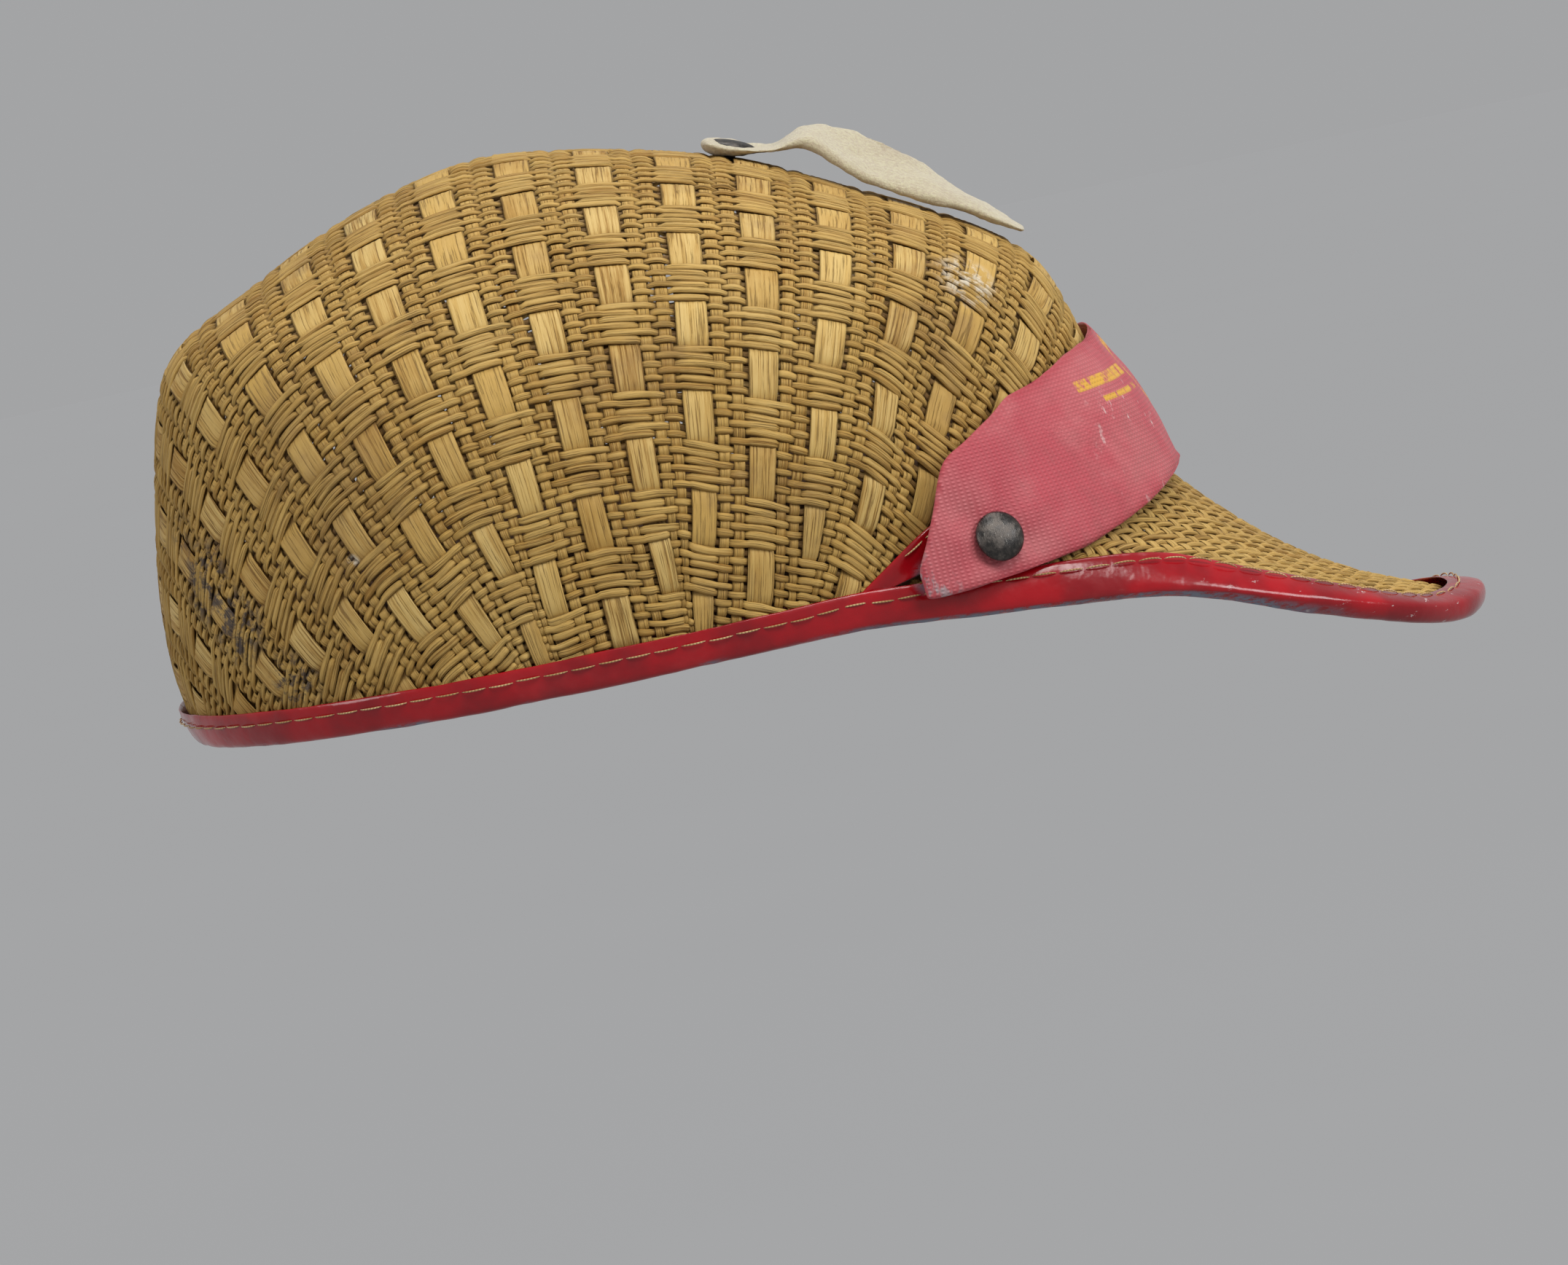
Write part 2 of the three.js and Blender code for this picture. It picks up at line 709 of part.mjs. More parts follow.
// The ball on the hat's side, on a flange, with a post through the straw.
function ballShape(depth) {
  return lathe([
    [0, -depth],
    [POST_RADIUS, -depth],
    [POST_RADIUS, 0],
    [FLANGE_RADIUS, 0],
    [FLANGE_RADIUS, FLANGE],
    [BALL_RADIUS * 0.8, FLANGE],
    [BALL_RADIUS, FLANGE + 0.45 * BALL_HEIGHT],
    [BALL_RADIUS * 0.75, FLANGE + BALL_HEIGHT],
    [0, FLANGE + BALL_HEIGHT],
  ]);
}

function washerShape() {
  const bore = POST_RADIUS + GAP;
  return lathe([[bore, 0], [bore, -WASHER], [WASHER_RADIUS, -WASHER], [WASHER_RADIUS, 0], [bore, 0]]);
}

// ---------- the felt strip ----------

const FELT_UNDER = STRAW / 2 + GAP;
const RIVET_LEVEL = (() => {
  let level = 1;
  while (smoothCrown(0, level).x < RIVET_X) level -= 0.0005;
  return level;
})();
const RIVET_SEAT = { point: crownPoint(0, RIVET_LEVEL), normal: crownNormal(0, RIVET_LEVEL) };

// The crown's centre line forward of the rivet, by distance along it.
function crownRidge(distance) {
  let level = RIVET_LEVEL;
  let gone = 0;
  let here = crownPoint(0, level);
  while (gone < distance) {
    level -= 0.001;
    const next = crownPoint(0, level);
    gone += next.distanceTo(here);
    here = next;
  }
  return { point: here, normal: crownNormal(0, level) };
}

// [distance from the rivet, height above the straw, sideways, roll in degrees]
const FELT_ROUTE = [
  [8, 0.9, 0, 0], [12, 2.2, 0, 0], [17, 3.4, 0, -6], [23, 3.9, -1, -18], [29, 3.6, -2, -28],
  [36, 3, -3, -30], [43, 2.4, -3, -22], [50, 1.7, -3, -10], [57, 1.2, -3, -3], [64, 1, -3, 0],
];

function feltRing([distance, height, sideways, roll]) {
  const { point, normal } = crownRidge(distance);
  const forward = new THREE.Vector3(normal.z, 0, -normal.x);
  const left = new THREE.Vector3(0, 1, 0).applyAxisAngle(forward, -roll * DEGREES);
  const up = normal.clone().applyAxisAngle(forward, -roll * DEGREES);
  const centre = point.clone()
    .addScaledVector(normal, FELT_UNDER + FELT / 2 + height)
    .addScaledVector(new THREE.Vector3(0, 1, 0), sideways);
  return [-1, 0, 1].map((k) => {
    const across = centre.clone().addScaledVector(left, k * FELT_WIDTH / 2);
    return [
      across.clone().addScaledVector(up, FELT / 2),
      across.clone().addScaledVector(up, -FELT / 2),
    ];
  });
}

function feltStrip() {
  const scale = (FELT_LENGTH - FELT_TAB) / (64 - 8);
  const route = FELT_ROUTE.map(([distance, ...rest]) => [
    FELT_TAB + (distance - 8) * scale + GAP, ...rest]);
  return sheetSolid(route.map(feltRing), false);
}

function feltTab() {
  const rings = [[-6, 0.4], [-2, 0.2], [3, 0.4], [FELT_TAB - GAP, 1]].map(([along, height]) => {
    const forward = new THREE.Vector3(RIVET_SEAT.normal.z, 0, -RIVET_SEAT.normal.x);
    const ahead = along > 0 ? feltRing([along, height, 0, 0]) : null;
    if (ahead) return ahead;
    return [-1, 0, 1].map((k) => [FELT, 0].map((thick) => RIVET_SEAT.point.clone()
      .addScaledVector(RIVET_SEAT.normal, FELT_UNDER + height + thick)
      .addScaledVector(forward, along)
      .add(new THREE.Vector3(0, k * FELT_WIDTH / 2, 0))));
  });
  const tab = sheetSolid(rings, false);
  return punch(tab, frameAt(RIVET_SEAT.point, RIVET_SEAT.normal), POST_RADIUS + GAP);
}

// ---------- the sweatband ----------

const SWEATBAND_OFF = STRAW / 2 + BINDING_SLACK + BINDING_CLOTH + 2 * GAP;

function sweatbandRows(angle) {
  return steps(SWEATBAND_LOW, SWEATBAND_TOP, 3).map((height) => {
    const level = levelAt(angle, height);
    const point = crownPoint(angle, level);
    return { point, normal: crownNormal(angle, level) };
  });
}

function sweatband() {
  const columns = 48;
  const rings = Array.from({ length: columns }, (_, i) => (
    sweatbandRows(2 * Math.PI * (i + 0.5) / columns).map(({ point, normal }) => [
      point.clone().addScaledVector(normal, -SWEATBAND_OFF),
      point.clone().addScaledVector(normal, -SWEATBAND_OFF - SWEATBAND),
    ])));
  return sheetSolid(rings, true);
}

function sweatbandStitching() {
  const columns = 48;
  const depth = SWEATBAND_OFF + SWEATBAND + GAP + THREAD_RADIUS;
  const stations = Array.from({ length: columns }, (_, i) => {
    const angle = 2 * Math.PI * (i + 0.5) / columns;
    const level = levelAt(angle, SWEATBAND_LOW + 2);
    const normal = crownNormal(angle, level);
    return {
      point: crownPoint(angle, level).addScaledVector(normal, -depth),
      normal,
      across: new THREE.Vector3(0, 0, 1).addScaledVector(normal, -normal.z).normalize(),
    };
  });
  return thread(stations, true);
}

// ---------- assembly ----------

const cap = new THREE.Group();

function add(name, geometry, colour, frame) {
  const mesh = new THREE.Mesh(geometry, new THREE.MeshStandardMaterial(colour));
  mesh.name = name;
  if (frame) frame.decompose(mesh.position, mesh.quaternion, mesh.scale);
  cap.add(mesh);
}

function along(seat, distance) {
  return frameAt(seat.point.clone().addScaledVector(seat.normal, distance), seat.normal);
}

const HOLE = POST_RADIUS + GAP;
const SIDES = [['right', -1], ['left', 1]];
const STUDS = SIDES.map(placeStud);

const crown = punch(crownShell(), along(RIVET_SEAT, 0), HOLE);
add('crown', crown, STRAW_COLOUR);
let peak = peakShell();
STUDS.forEach(({ seat }) => {
  peak = punch(peak, along(seat, 0), HOLE);
});
add('peak', peak, STRAW_COLOUR);
add('edge_binding', edgeBinding(), BINDING_COLOUR);
add('edge_stitching', edgeStitching(), THREAD_COLOUR);
let strip = seamStrip();
STUDS.forEach(({ seat }) => {
  strip = punch(strip, along(seat, 0), HOLE);
});
add('seam_strip', strip, BINDING_COLOUR);
add('seam_stitching', seamStitching(), THREAD_COLOUR);
add('front_band', bandMiddle(), BAND_COLOUR);

const TILT = 0.4; // room for pieces that sit slightly askew on the cloth
const FLANGE_OFF = STRAW / 2 + SEAM_CLOTH + 3 * GAP + TILT;
STUDS.forEach(({ name, side, seat, band }) => {
  const inward = -BAND_CLOTH / 2 - GAP - TILT;
  add(`${name}_band_end`, punch(bandFlap(side), along(band, 0), HOLE), BAND_COLOUR);
  add(`${name}_stud_cap`, capShape(BAND_CLOTH + 2 * (GAP + TILT) + 0.4), METAL_COLOUR,
    along(band, BAND_CLOTH / 2 + GAP + TILT));
  add(`${name}_stud_socket`, socketShape(SOCKET_DROP), METAL_COLOUR, along(band, inward));
  add(`${name}_stud_ball`, ballShape(FLANGE_OFF + STRAW / 2 + GAP + TILT + WASHER), METAL_COLOUR,
    along(seat, FLANGE_OFF));
  add(`${name}_stud_washer`, washerShape(), METAL_COLOUR,
    along(seat, -STRAW / 2 - GAP - TILT));
});

const RIVET_CAP_OFF = FELT_UNDER + FELT + 2 * GAP + 0.4;
add('crown_rivet', capShape(RIVET_CAP_OFF + STRAW / 2 + GAP + TILT + WASHER), METAL_COLOUR,
  along(RIVET_SEAT, RIVET_CAP_OFF));
add('crown_rivet_washer', washerShape(), METAL_COLOUR,
  along(RIVET_SEAT, -STRAW / 2 - GAP - TILT));
add('felt_tab', feltTab(), FELT_COLOUR);
add('felt_strip', feltStrip(), FELT_COLOUR);
add('sweatband', sweatband(), LEATHER_COLOUR);
add('sweatband_stitching', sweatbandStitching(), THREAD_COLOUR);

export default cap;
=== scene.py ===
"""A woven straw peaked cap with a bound edge, a cloth front band on press studs and a felt strip."""
import json
import math

import bmesh
import bpy
import numpy as np
from bpy.props import FloatProperty, FloatVectorProperty, PointerProperty
from mathutils import Matrix, Vector, noise
from mathutils.bvhtree import BVHTree


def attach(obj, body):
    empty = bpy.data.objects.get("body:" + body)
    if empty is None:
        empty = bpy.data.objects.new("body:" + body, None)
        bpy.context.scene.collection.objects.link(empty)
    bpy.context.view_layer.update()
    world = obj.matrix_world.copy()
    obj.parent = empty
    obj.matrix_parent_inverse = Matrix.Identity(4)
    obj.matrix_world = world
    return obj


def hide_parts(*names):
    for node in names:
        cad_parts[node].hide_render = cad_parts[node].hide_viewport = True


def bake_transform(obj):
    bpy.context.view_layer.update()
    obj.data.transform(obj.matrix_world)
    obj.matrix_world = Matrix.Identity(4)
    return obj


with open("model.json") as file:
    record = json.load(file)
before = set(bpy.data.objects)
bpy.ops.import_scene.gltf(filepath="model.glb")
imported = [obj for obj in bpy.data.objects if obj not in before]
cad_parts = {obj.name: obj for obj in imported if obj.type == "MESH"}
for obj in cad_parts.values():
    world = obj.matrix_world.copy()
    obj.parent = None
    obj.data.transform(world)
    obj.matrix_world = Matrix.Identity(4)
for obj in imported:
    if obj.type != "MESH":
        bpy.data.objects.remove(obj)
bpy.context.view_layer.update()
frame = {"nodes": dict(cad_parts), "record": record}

bl_info = {
    "name": "Woven straw cap",
    "version": (1, 0, 0),
    "blender": (4, 5, 0),
    "location": "3D View > Sidebar > Straw cap",
    "description": "Builds a woven straw peaked cap round its packed frame",
    "category": "Object",
}

MM = 0.001
GRID = 5.0  # spacing of the net that carries the strands, in mm
ROW = 1.75  # from one weft strand to the next
REPEAT = 16.9  # one wide and two narrow warp ribbons
WIDE, NARROW_1, NARROW_2 = 3.9, 9.9, 14.3  # their places in the repeat
CROWN_AXIS = (-15.0, 0.0)
SUBDIVISION = 2
FULL_LIFT = 0.5  # how far a strand rises from the sheet's middle, in mm
HEM_CLEARANCE = 1.2  # strands stop this far above the straw's lowest edge, in mm
TEMPLE_TOP = 0.026  # above this height a strand may stand a little off its wall
FRAME_WIDTH = 0.3361  # how much of the cap's plane the camera takes in, side to side


# ---------- sizes and colours ----------


def size(name, description, default, low, high):
    return FloatProperty(
        name=name, description=description, default=default, min=low, max=high, subtype="DISTANCE",
        unit="LENGTH",
    )


def colour(name, description, default):
    return FloatVectorProperty(
        name=name, description=description, default=default, size=3, min=0, max=1, subtype="COLOR"
    )


class CapSizes(bpy.types.PropertyGroup):
    weft_width: size("Weft width", "Width of the strands that run front to back", 0.00158, 0.001, 0.0018)
    narrow_width: size("Narrow ribbon", "Width of the narrow ribbons that run across", 0.0031, 0.001, 0.0034)
    wide_width: size("Wide ribbon", "Width of the wide ribbons that run across", 0.0076, 0.003, 0.008)
    stitch_pitch: size("Stitch pitch", "From one stitch of the bound edge to the next", 0.0058, 0.003, 0.009)
    stitch_length: size("Stitch length", "Length of one stitch", 0.0050, 0.002, 0.008)
    stud_radius: size("Stud radius", "Radius of the domed stud caps", 0.0053, 0.004, 0.0058)
    felt_ripple: size("Felt ripple", "How far the felt strip waves out of true", 0.0016, 0.0, 0.003)
    floor_drop: size("Floor drop", "How far the floor lies under the cap", 0.42, 0.1, 2.0)


class CapColours(bpy.types.PropertyGroup):
    straw: colour("Straw", "Natural straw in the light", (0.51, 0.315, 0.082))
    straw_dark: colour("Aged straw", "Straw where it has browned", (0.30, 0.150, 0.024))
    # Pale straw for fading and wear, and for the painted highlight on the strands' raised tops.
    straw_wear_and_highlight: colour("Worn straw", "Straw rubbed pale on the wide ribbons", (0.63, 0.450, 0.165))
    binding: colour("Binding", "Glossy coated cloth round the edge", (0.36, 0.002, 0.007))
    binding_worn: colour("Worn binding", "Cloth backing where the coating has gone", (0.20, 0.215, 0.27))
    band: colour("Band", "Faded cloth of the front band", (0.46, 0.055, 0.075))
    band_faded: colour("Faded band", "The band where the sun has reached it", (0.50, 0.118, 0.128))
    felt: colour("Felt", "Cream felt strip", (0.585, 0.53, 0.335))
    thread: colour("Thread", "Sewing thread", (0.40, 0.23, 0.08))
    metal: colour("Stud metal", "Dark oxidised metal", (0.055, 0.052, 0.05))
    leather: colour("Sweatband", "Thin leathercloth inside", (0.115, 0.055, 0.026))
    ground: colour("Ground", "Floor and backdrop", (0.368, 0.371, 0.377))


def sizes():
    return bpy.context.scene.straw_cap_sizes


def colours():
    return bpy.context.scene.straw_cap_colours


# ---------- material wiring ----------


class Wiring:
    """Adds nodes to one node tree and joins them up."""

    def __init__(self, tree):
        self.tree = tree

    def put(self, kind, inputs=None, **settings):
        made = self.tree.nodes.new(kind)
        for name, value in settings.items():
            setattr(made, name, value)
        for name, value in (inputs or {}).items():
            socket = made.inputs[name]
            if isinstance(value, bpy.types.NodeSocket):
                self.tree.links.new(value, socket)
            else:
                socket.default_value = (*value, 1) if socket.type == "RGBA" and len(value) == 3 else value
        return made

    def maths(self, operation, first, second=0.0, clamp=False):
        inputs = {0: first, 1: second}
        return self.put("ShaderNodeMath", inputs, operation=operation, use_clamp=clamp).outputs[0]

    def times(self, first, second, clamp=False):
        return self.maths("MULTIPLY", first, second, clamp)

    def plus(self, first, second):
        return self.maths("ADD", first, second)

    def minus(self, first, second):
        return self.maths("SUBTRACT", first, second)

    def most(self, first, second):
        return self.maths("MAXIMUM", first, second)

    def blend(self, share, first, second, kind="MIX"):
        inputs = {0: share, 6: first, 7: second}
        return self.put("ShaderNodeMix", inputs, data_type="RGBA", blend_type=kind).outputs[2]

    def spread(self, value, low, high, to_low=0.0, to_high=1.0):
        inputs = {"Value": value, "From Min": low, "From Max": high, "To Min": to_low, "To Max": to_high}
        return self.put("ShaderNodeMapRange", inputs, interpolation_type="SMOOTHSTEP").outputs[0]

    def speckle(self, vector, scale, detail=3.0, roughness=0.55):
        inputs = {"Vector": vector, "Scale": scale, "Detail": detail, "Roughness": roughness}
        return self.put("ShaderNodeTexNoise", inputs).outputs["Fac"]

    def stretch(self, vector, factors, place=(0, 0, 0)):
        inputs = {"Vector": vector, "Scale": factors, "Location": place}
        return self.put("ShaderNodeMapping", inputs).outputs[0]

    def near(self, vector, centre, radius, soft=0.4):
        """1 within a radius of a point, fading to 0 outside it."""
        away = self.put("ShaderNodeVectorMath", {0: vector, 1: centre}, operation="DISTANCE").outputs["Value"]
        return self.spread(away, radius * (1 - soft), radius * (1 + soft), 1.0, 0.0)

    def near_any(self, vector, spots):
        """The same for several spots, each a centre and a radius."""
        mask = self.near(vector, *spots[0])
        for spot in spots[1:]:
            mask = self.most(mask, self.near(vector, *spot))
        return mask

    def group(self, shared, inputs):
        made = self.put("ShaderNodeGroup", node_tree=shared)
        for name, value in inputs.items():
            if isinstance(value, bpy.types.NodeSocket):
                self.tree.links.new(value, made.inputs[name])
            else:
                made.inputs[name].default_value = value
        return made.outputs


def shared_group(name, inputs, outputs, fill):
    """Builds a shader group once. inputs and outputs are (name, socket type, default)."""
    tree = bpy.data.node_groups.new(name, "ShaderNodeTree")
    for direction, listed in (("INPUT", inputs), ("OUTPUT", outputs)):
        for socket_name, kind, default in listed:
            socket = tree.interface.new_socket(socket_name, in_out=direction, socket_type=kind)
            if default is not None:
                socket.default_value = default
    wiring = Wiring(tree)
    given = wiring.put("NodeGroupInput").outputs
    taken = wiring.put("NodeGroupOutput").inputs
    for socket_name, value in fill(wiring, given).items():
        tree.links.new(value, taken[socket_name])
    return tree


FLOAT, COLOUR, VECTOR = "NodeSocketFloat", "NodeSocketColor", "NodeSocketVector"


def fibre_group():
    """Lengthwise fibres of split straw: streaks, fine grooves and grey flecks."""

    def fill(w, given):
        lengthwise = w.stretch(given["Along"], (1.0, 5.0, 1.0))
        fine = w.speckle(w.stretch(lengthwise, (0.16, 1.0, 1.0)), given["Fibres"], 4.0, 0.65)
        broad = w.speckle(w.stretch(lengthwise, (0.05, 0.35, 1.0)), given["Fibres"], 2.0)
        split = w.spread(fine, 0.34, 0.46)
        height = w.plus(w.times(fine, 0.7), w.times(split, 0.5))
        streak = w.spread(w.plus(w.times(fine, 0.6), w.times(broad, 0.4)), 0.3, 0.7)
        return {"Streak": streak, "Split": split, "Height": height}

    return shared_group(
        "Straw fibres",
        [("Along", VECTOR, None), ("Fibres", FLOAT, 900.0)],
        [("Streak", FLOAT, None), ("Split", FLOAT, None), ("Height", FLOAT, None)],
        fill,
    )


def grime_group():
    """Dirt and fading that changes slowly over the object."""

    def fill(w, given):
        slow = w.speckle(given["Place"], given["Scale"], 4.0, 0.6)
        quick = w.speckle(given["Place"], w.times(given["Scale"], 9.0), 3.0, 0.6)
        mixed = w.plus(w.times(slow, 0.7), w.times(quick, 0.3))
        return {"Dirt": w.spread(mixed, 0.5, 0.68), "Fade": w.spread(mixed, 0.36, 0.52, 1.0, 0.0)}

    return shared_group(
        "Grime", [("Place", VECTOR, None), ("Scale", FLOAT, 20.0)],
        [("Dirt", FLOAT, None), ("Fade", FLOAT, None)], fill,
    )


def cloth_group():
    """A fine woven or pressed grid across a cloth's own map."""

    def fill(w, given):
        parts = w.put("ShaderNodeSeparateXYZ", {"Vector": given["Map"]}).outputs
        waves = []
        for axis, factor in ((0, given["Across"]), (1, given["Along"])):
            turned = w.maths("SINE", w.times(parts[axis], factor))
            waves.append(w.plus(w.times(turned, 0.5), 0.5))
        grid = w.times(waves[0], waves[1])
        crease = w.speckle(given["Map"], given["Crumple"], 3.0, 0.6)
        return {"Grid": grid, "Crease": crease, "Height": w.plus(grid, w.times(crease, 0.5))}

    return shared_group(
        "Cloth grid",
        [
            ("Map", VECTOR, None), ("Across", FLOAT, 7000.0), ("Along", FLOAT, 7000.0),
            ("Crumple", FLOAT, 90.0),
        ],
        [("Grid", FLOAT, None), ("Crease", FLOAT, None), ("Height", FLOAT, None)],
        fill,
    )


GROUPS = {}


def group_named(name):
    makers = {"fibres": fibre_group, "grime": grime_group, "cloth": cloth_group}
    if name not in GROUPS:
        GROUPS[name] = makers[name]()
    return GROUPS[name]


def new_material(name, **settings):
    """An empty material with a Principled shader; settings are uniform shader values."""
    made = bpy.data.materials.new(name)
    made.use_nodes = True
    wiring = Wiring(made.node_tree)
    shader = made.node_tree.nodes["Principled BSDF"]
    for socket, value in settings.items():
        shader.inputs[socket.replace("_", " ")].default_value = value
    return made, wiring, shader


def join(wiring, shader, base=None, roughness=None, height=None, depth=0.0002, strength=0.6, metallic=None):
    links = wiring.tree.links
    if base is not None:
        links.new(base, shader.inputs["Base Color"])
    if roughness is not None:
        links.new(roughness, shader.inputs["Roughness"])
    if metallic is not None:
        links.new(metallic, shader.inputs["Metallic"])
    if height is not None:
        bump = wiring.put("ShaderNodeBump", {"Height": height, "Distance": depth, "Strength": strength})
        links.new(bump.outputs[0], shader.inputs["Normal"])


def place_of(wiring):
    return wiring.put("ShaderNodeTexCoord").outputs["Object"]


# ---------- materials of the cap ----------

STAINS = [  # dark smudges on the straw: centre and radius in metres
    ((-0.092, -0.045, 0.036), 0.009), ((-0.086, -0.052, 0.026), 0.008), ((-0.098, -0.036, 0.047), 0.006),
    ((0.030, -0.056, 0.071), 0.0045), ((0.036, -0.063, 0.052), 0.0035), ((-0.075, -0.060, 0.013), 0.006),
]
PALE_SPOTS = [
    ((-0.058, -0.072, 0.036), 0.0012), ((0.033, -0.066, 0.055), 0.001), ((0.080, -0.043, 0.066), 0.007),
]
FRAYED_ENDS = [((0.058, -0.0725, 0.008), 0.004), ((0.068, -0.064, 0.018), 0.003)]  # of the seam strip


def straw_material():
    c = colours()
    made, w, shader = new_material("straw", Specular_IOR_Level=0.3)
    along = w.put("ShaderNodeUVMap", uv_map="strand").outputs[0]
    tint = w.put("ShaderNodeAttribute", attribute_name="tint").outputs["Fac"]
    lift = w.put("ShaderNodeAttribute", attribute_name="lift").outputs["Fac"]
    wear_and_highlight = w.put("ShaderNodeAttribute", attribute_name="wear_and_highlight").outputs["Fac"]
    place = place_of(w)
    fibres = w.group(group_named("fibres"), {"Along": along, "Fibres": 420.0})
    grime = w.group(group_named("grime"), {"Place": place, "Scale": 26.0})
    base = w.blend(tint, c.straw_dark, c.straw)
    base = w.blend(w.spread(fibres["Streak"], 0.15, 0.85, 0.0, 0.75), base, c.straw)
    # The strands' third value pales the straw. On the raised tops of the weft and narrow ribbons this is
    # painted highlight with some wear; on the wide ribbons' shown blocks it is wear.
    rubbed = w.times(wear_and_highlight, w.spread(fibres["Streak"], 0.2, 0.8, 0.1, 0.85))
    base = w.blend(rubbed, base, c.straw_wear_and_highlight)
    base = w.blend(w.spread(fibres["Split"], 0.0, 1.0, 0.5, 0.0), base, (0.15, 0.072, 0.020))
    # Painted shade: the strands go dark brown where they dip under their neighbours.
    base = w.blend(w.spread(lift, -1.0, 0.25, 0.78, 0.0), base, (0.090, 0.038, 0.009))
    base = w.blend(w.times(grime["Dirt"], 0.35), base, (0.20, 0.11, 0.045))
    base = w.blend(w.times(grime["Fade"], 0.22), base, c.straw_wear_and_highlight)
    stain = w.near_any(place, STAINS)
    broken = w.spread(w.speckle(place, 330.0, 4.0, 0.7), 0.44, 0.6)
    base = w.blend(w.times(w.times(stain, broken), 0.85), base, (0.020, 0.022, 0.040))
    pale = w.near_any(place, PALE_SPOTS)
    base = w.blend(w.times(w.times(pale, broken), 0.8), base, (0.72, 0.66, 0.54))
    roughness = w.spread(fibres["Streak"], 0.0, 1.0, 0.72, 0.50)
    join(w, shader, base, roughness, fibres["Height"], 0.0003, 0.9)
    return made


def binding_material():
    c = colours()
    made, w, shader = new_material("binding", Specular_IOR_Level=0.35, Coat_Roughness=0.1)
    under = w.put("ShaderNodeAttribute", attribute_name="under").outputs["Fac"]
    place = place_of(w)
    parts = w.put("ShaderNodeSeparateXYZ", {"Vector": place}).outputs
    grime = w.group(group_named("grime"), {"Place": place, "Scale": 34.0})
    cracks = w.speckle(w.stretch(place, (1.0, 1.0, 3.0)), 260.0, 5.0, 0.72)
    base = w.blend(w.spread(w.speckle(place, 60.0, 3.0), 0.35, 0.65), c.binding, (0.22, 0.003, 0.007))
    # The fold's lowest edge is rubbed through from the ear forwards.
    patchy = w.speckle(place, 46.0, 3.0, 0.6)
    ahead = w.times(w.spread(parts[0], 0.022, 0.05), w.spread(parts[0], 0.15, 0.125))
    low = w.times(w.spread(under, 0.35, 0.8), w.most(ahead, w.spread(patchy, 0.55, 0.68)))
    ends = w.near_any(place, FRAYED_ENDS)
    torn = w.times(w.most(low, ends), w.spread(cracks, 0.40, 0.56), clamp=True)
    base = w.blend(torn, base, c.binding_worn)
    # Whitish patches on the binding's front part, fading in from x 0.09 m to 0.15 m, where the crack noise
    # runs high.
    pale_patches = w.times(w.spread(cracks, 0.63, 0.68), w.spread(parts[0], 0.09, 0.15))
    base = w.blend(w.times(pale_patches, 0.8), base, (0.62, 0.55, 0.53))
    base = w.blend(w.times(grime["Fade"], 0.07), base, (0.50, 0.10, 0.10))
    roughness = w.plus(w.spread(torn, 0.0, 1.0, 0.19, 0.8), w.times(grime["Dirt"], 0.14))
    w.tree.links.new(w.spread(torn, 0.0, 0.6, 0.3, 0.0), shader.inputs["Coat Weight"])
    height = w.plus(w.speckle(place, 150.0, 3.0, 0.5), w.times(torn, -0.5))
    join(w, shader, base, roughness, height, 0.0009, 0.45)
    return made


def emblem(w, along):
    """A plain device in worn gold on the band's map: a ring with two bars on each side."""
    parts = w.put("ShaderNodeSeparateXYZ", {"Vector": along}).outputs
    side, up = w.maths("ABSOLUTE", parts[0]), w.minus(parts[1], 0.036)
    out = w.maths("SQRT", w.plus(w.times(side, side), w.times(up, up)))
    mask = w.spread(w.maths("ABSOLUTE", w.minus(out, 0.0075)), 0.0009, 0.0012, 1.0, 0.0)
    for middle, half, level, thick in ((0.026, 0.014, 0.0015, 0.0012), (0.0225, 0.0105, -0.0025, 0.0006)):
        off_middle = w.maths("ABSOLUTE", w.minus(side, middle))
        across = w.spread(off_middle, half - 0.0003, half, 1.0, 0.0)
        tall = w.maths("ABSOLUTE", w.minus(up, level))
        bar = w.times(across, w.spread(tall, thick - 0.0002, thick + 0.0002, 1.0, 0.0))
        mask = w.most(mask, bar)
    return mask


def band_material():
    c = colours()
    made, w, shader = new_material("band", Specular_IOR_Level=0.45, Sheen_Weight=0.1)
    along = w.put("ShaderNodeUVMap", uv_map="cloth").outputs[0]
    edge = w.put("ShaderNodeAttribute", attribute_name="edge").outputs["Fac"]
    place = place_of(w)
    cloth = w.group(group_named("cloth"), {"Map": along, "Across": 5200.0, "Along": 7600.0, "Crumple": 110.0})
    grime = w.group(group_named("grime"), {"Place": place, "Scale": 30.0})
    patches = w.spread(w.speckle(place, 38.0, 4.0, 0.6), 0.36, 0.62)
    base = w.blend(patches, c.band, c.band_faded)
    base = w.blend(w.spread(cloth["Grid"], 0.1, 0.7, 0.30, 0.0), base, (0.26, 0.03, 0.04))
    base = w.blend(w.times(edge, 0.75), base, (0.33, 0.022, 0.035))
    rubbed = w.speckle(w.stretch(place, (1.0, 1.0, 0.5)), 210.0, 5.0, 0.75)
    white = w.times(w.spread(rubbed, 0.59, 0.66), w.near(place, (0.112, -0.034, 0.022), 0.016, 0.5))
    grey = w.times(w.spread(rubbed, 0.5, 0.62), w.near(place, (0.056, -0.078, 0.006), 0.007, 0.6))
    base = w.blend(w.times(white, 0.75), base, (0.70, 0.60, 0.57))
    base = w.blend(w.times(grey, 0.8), base, (0.30, 0.27, 0.28))
    gold = w.times(emblem(w, along), w.spread(rubbed, 0.38, 0.50))
    base = w.blend(gold, base, (0.62, 0.33, 0.03))
    base = w.blend(w.times(grime["Dirt"], 0.22), base, (0.16, 0.06, 0.05))
    roughness = w.spread(cloth["Grid"], 0.0, 1.0, 0.62, 0.46)
    join(w, shader, base, roughness, cloth["Height"], 0.00022, 0.6)
    return made


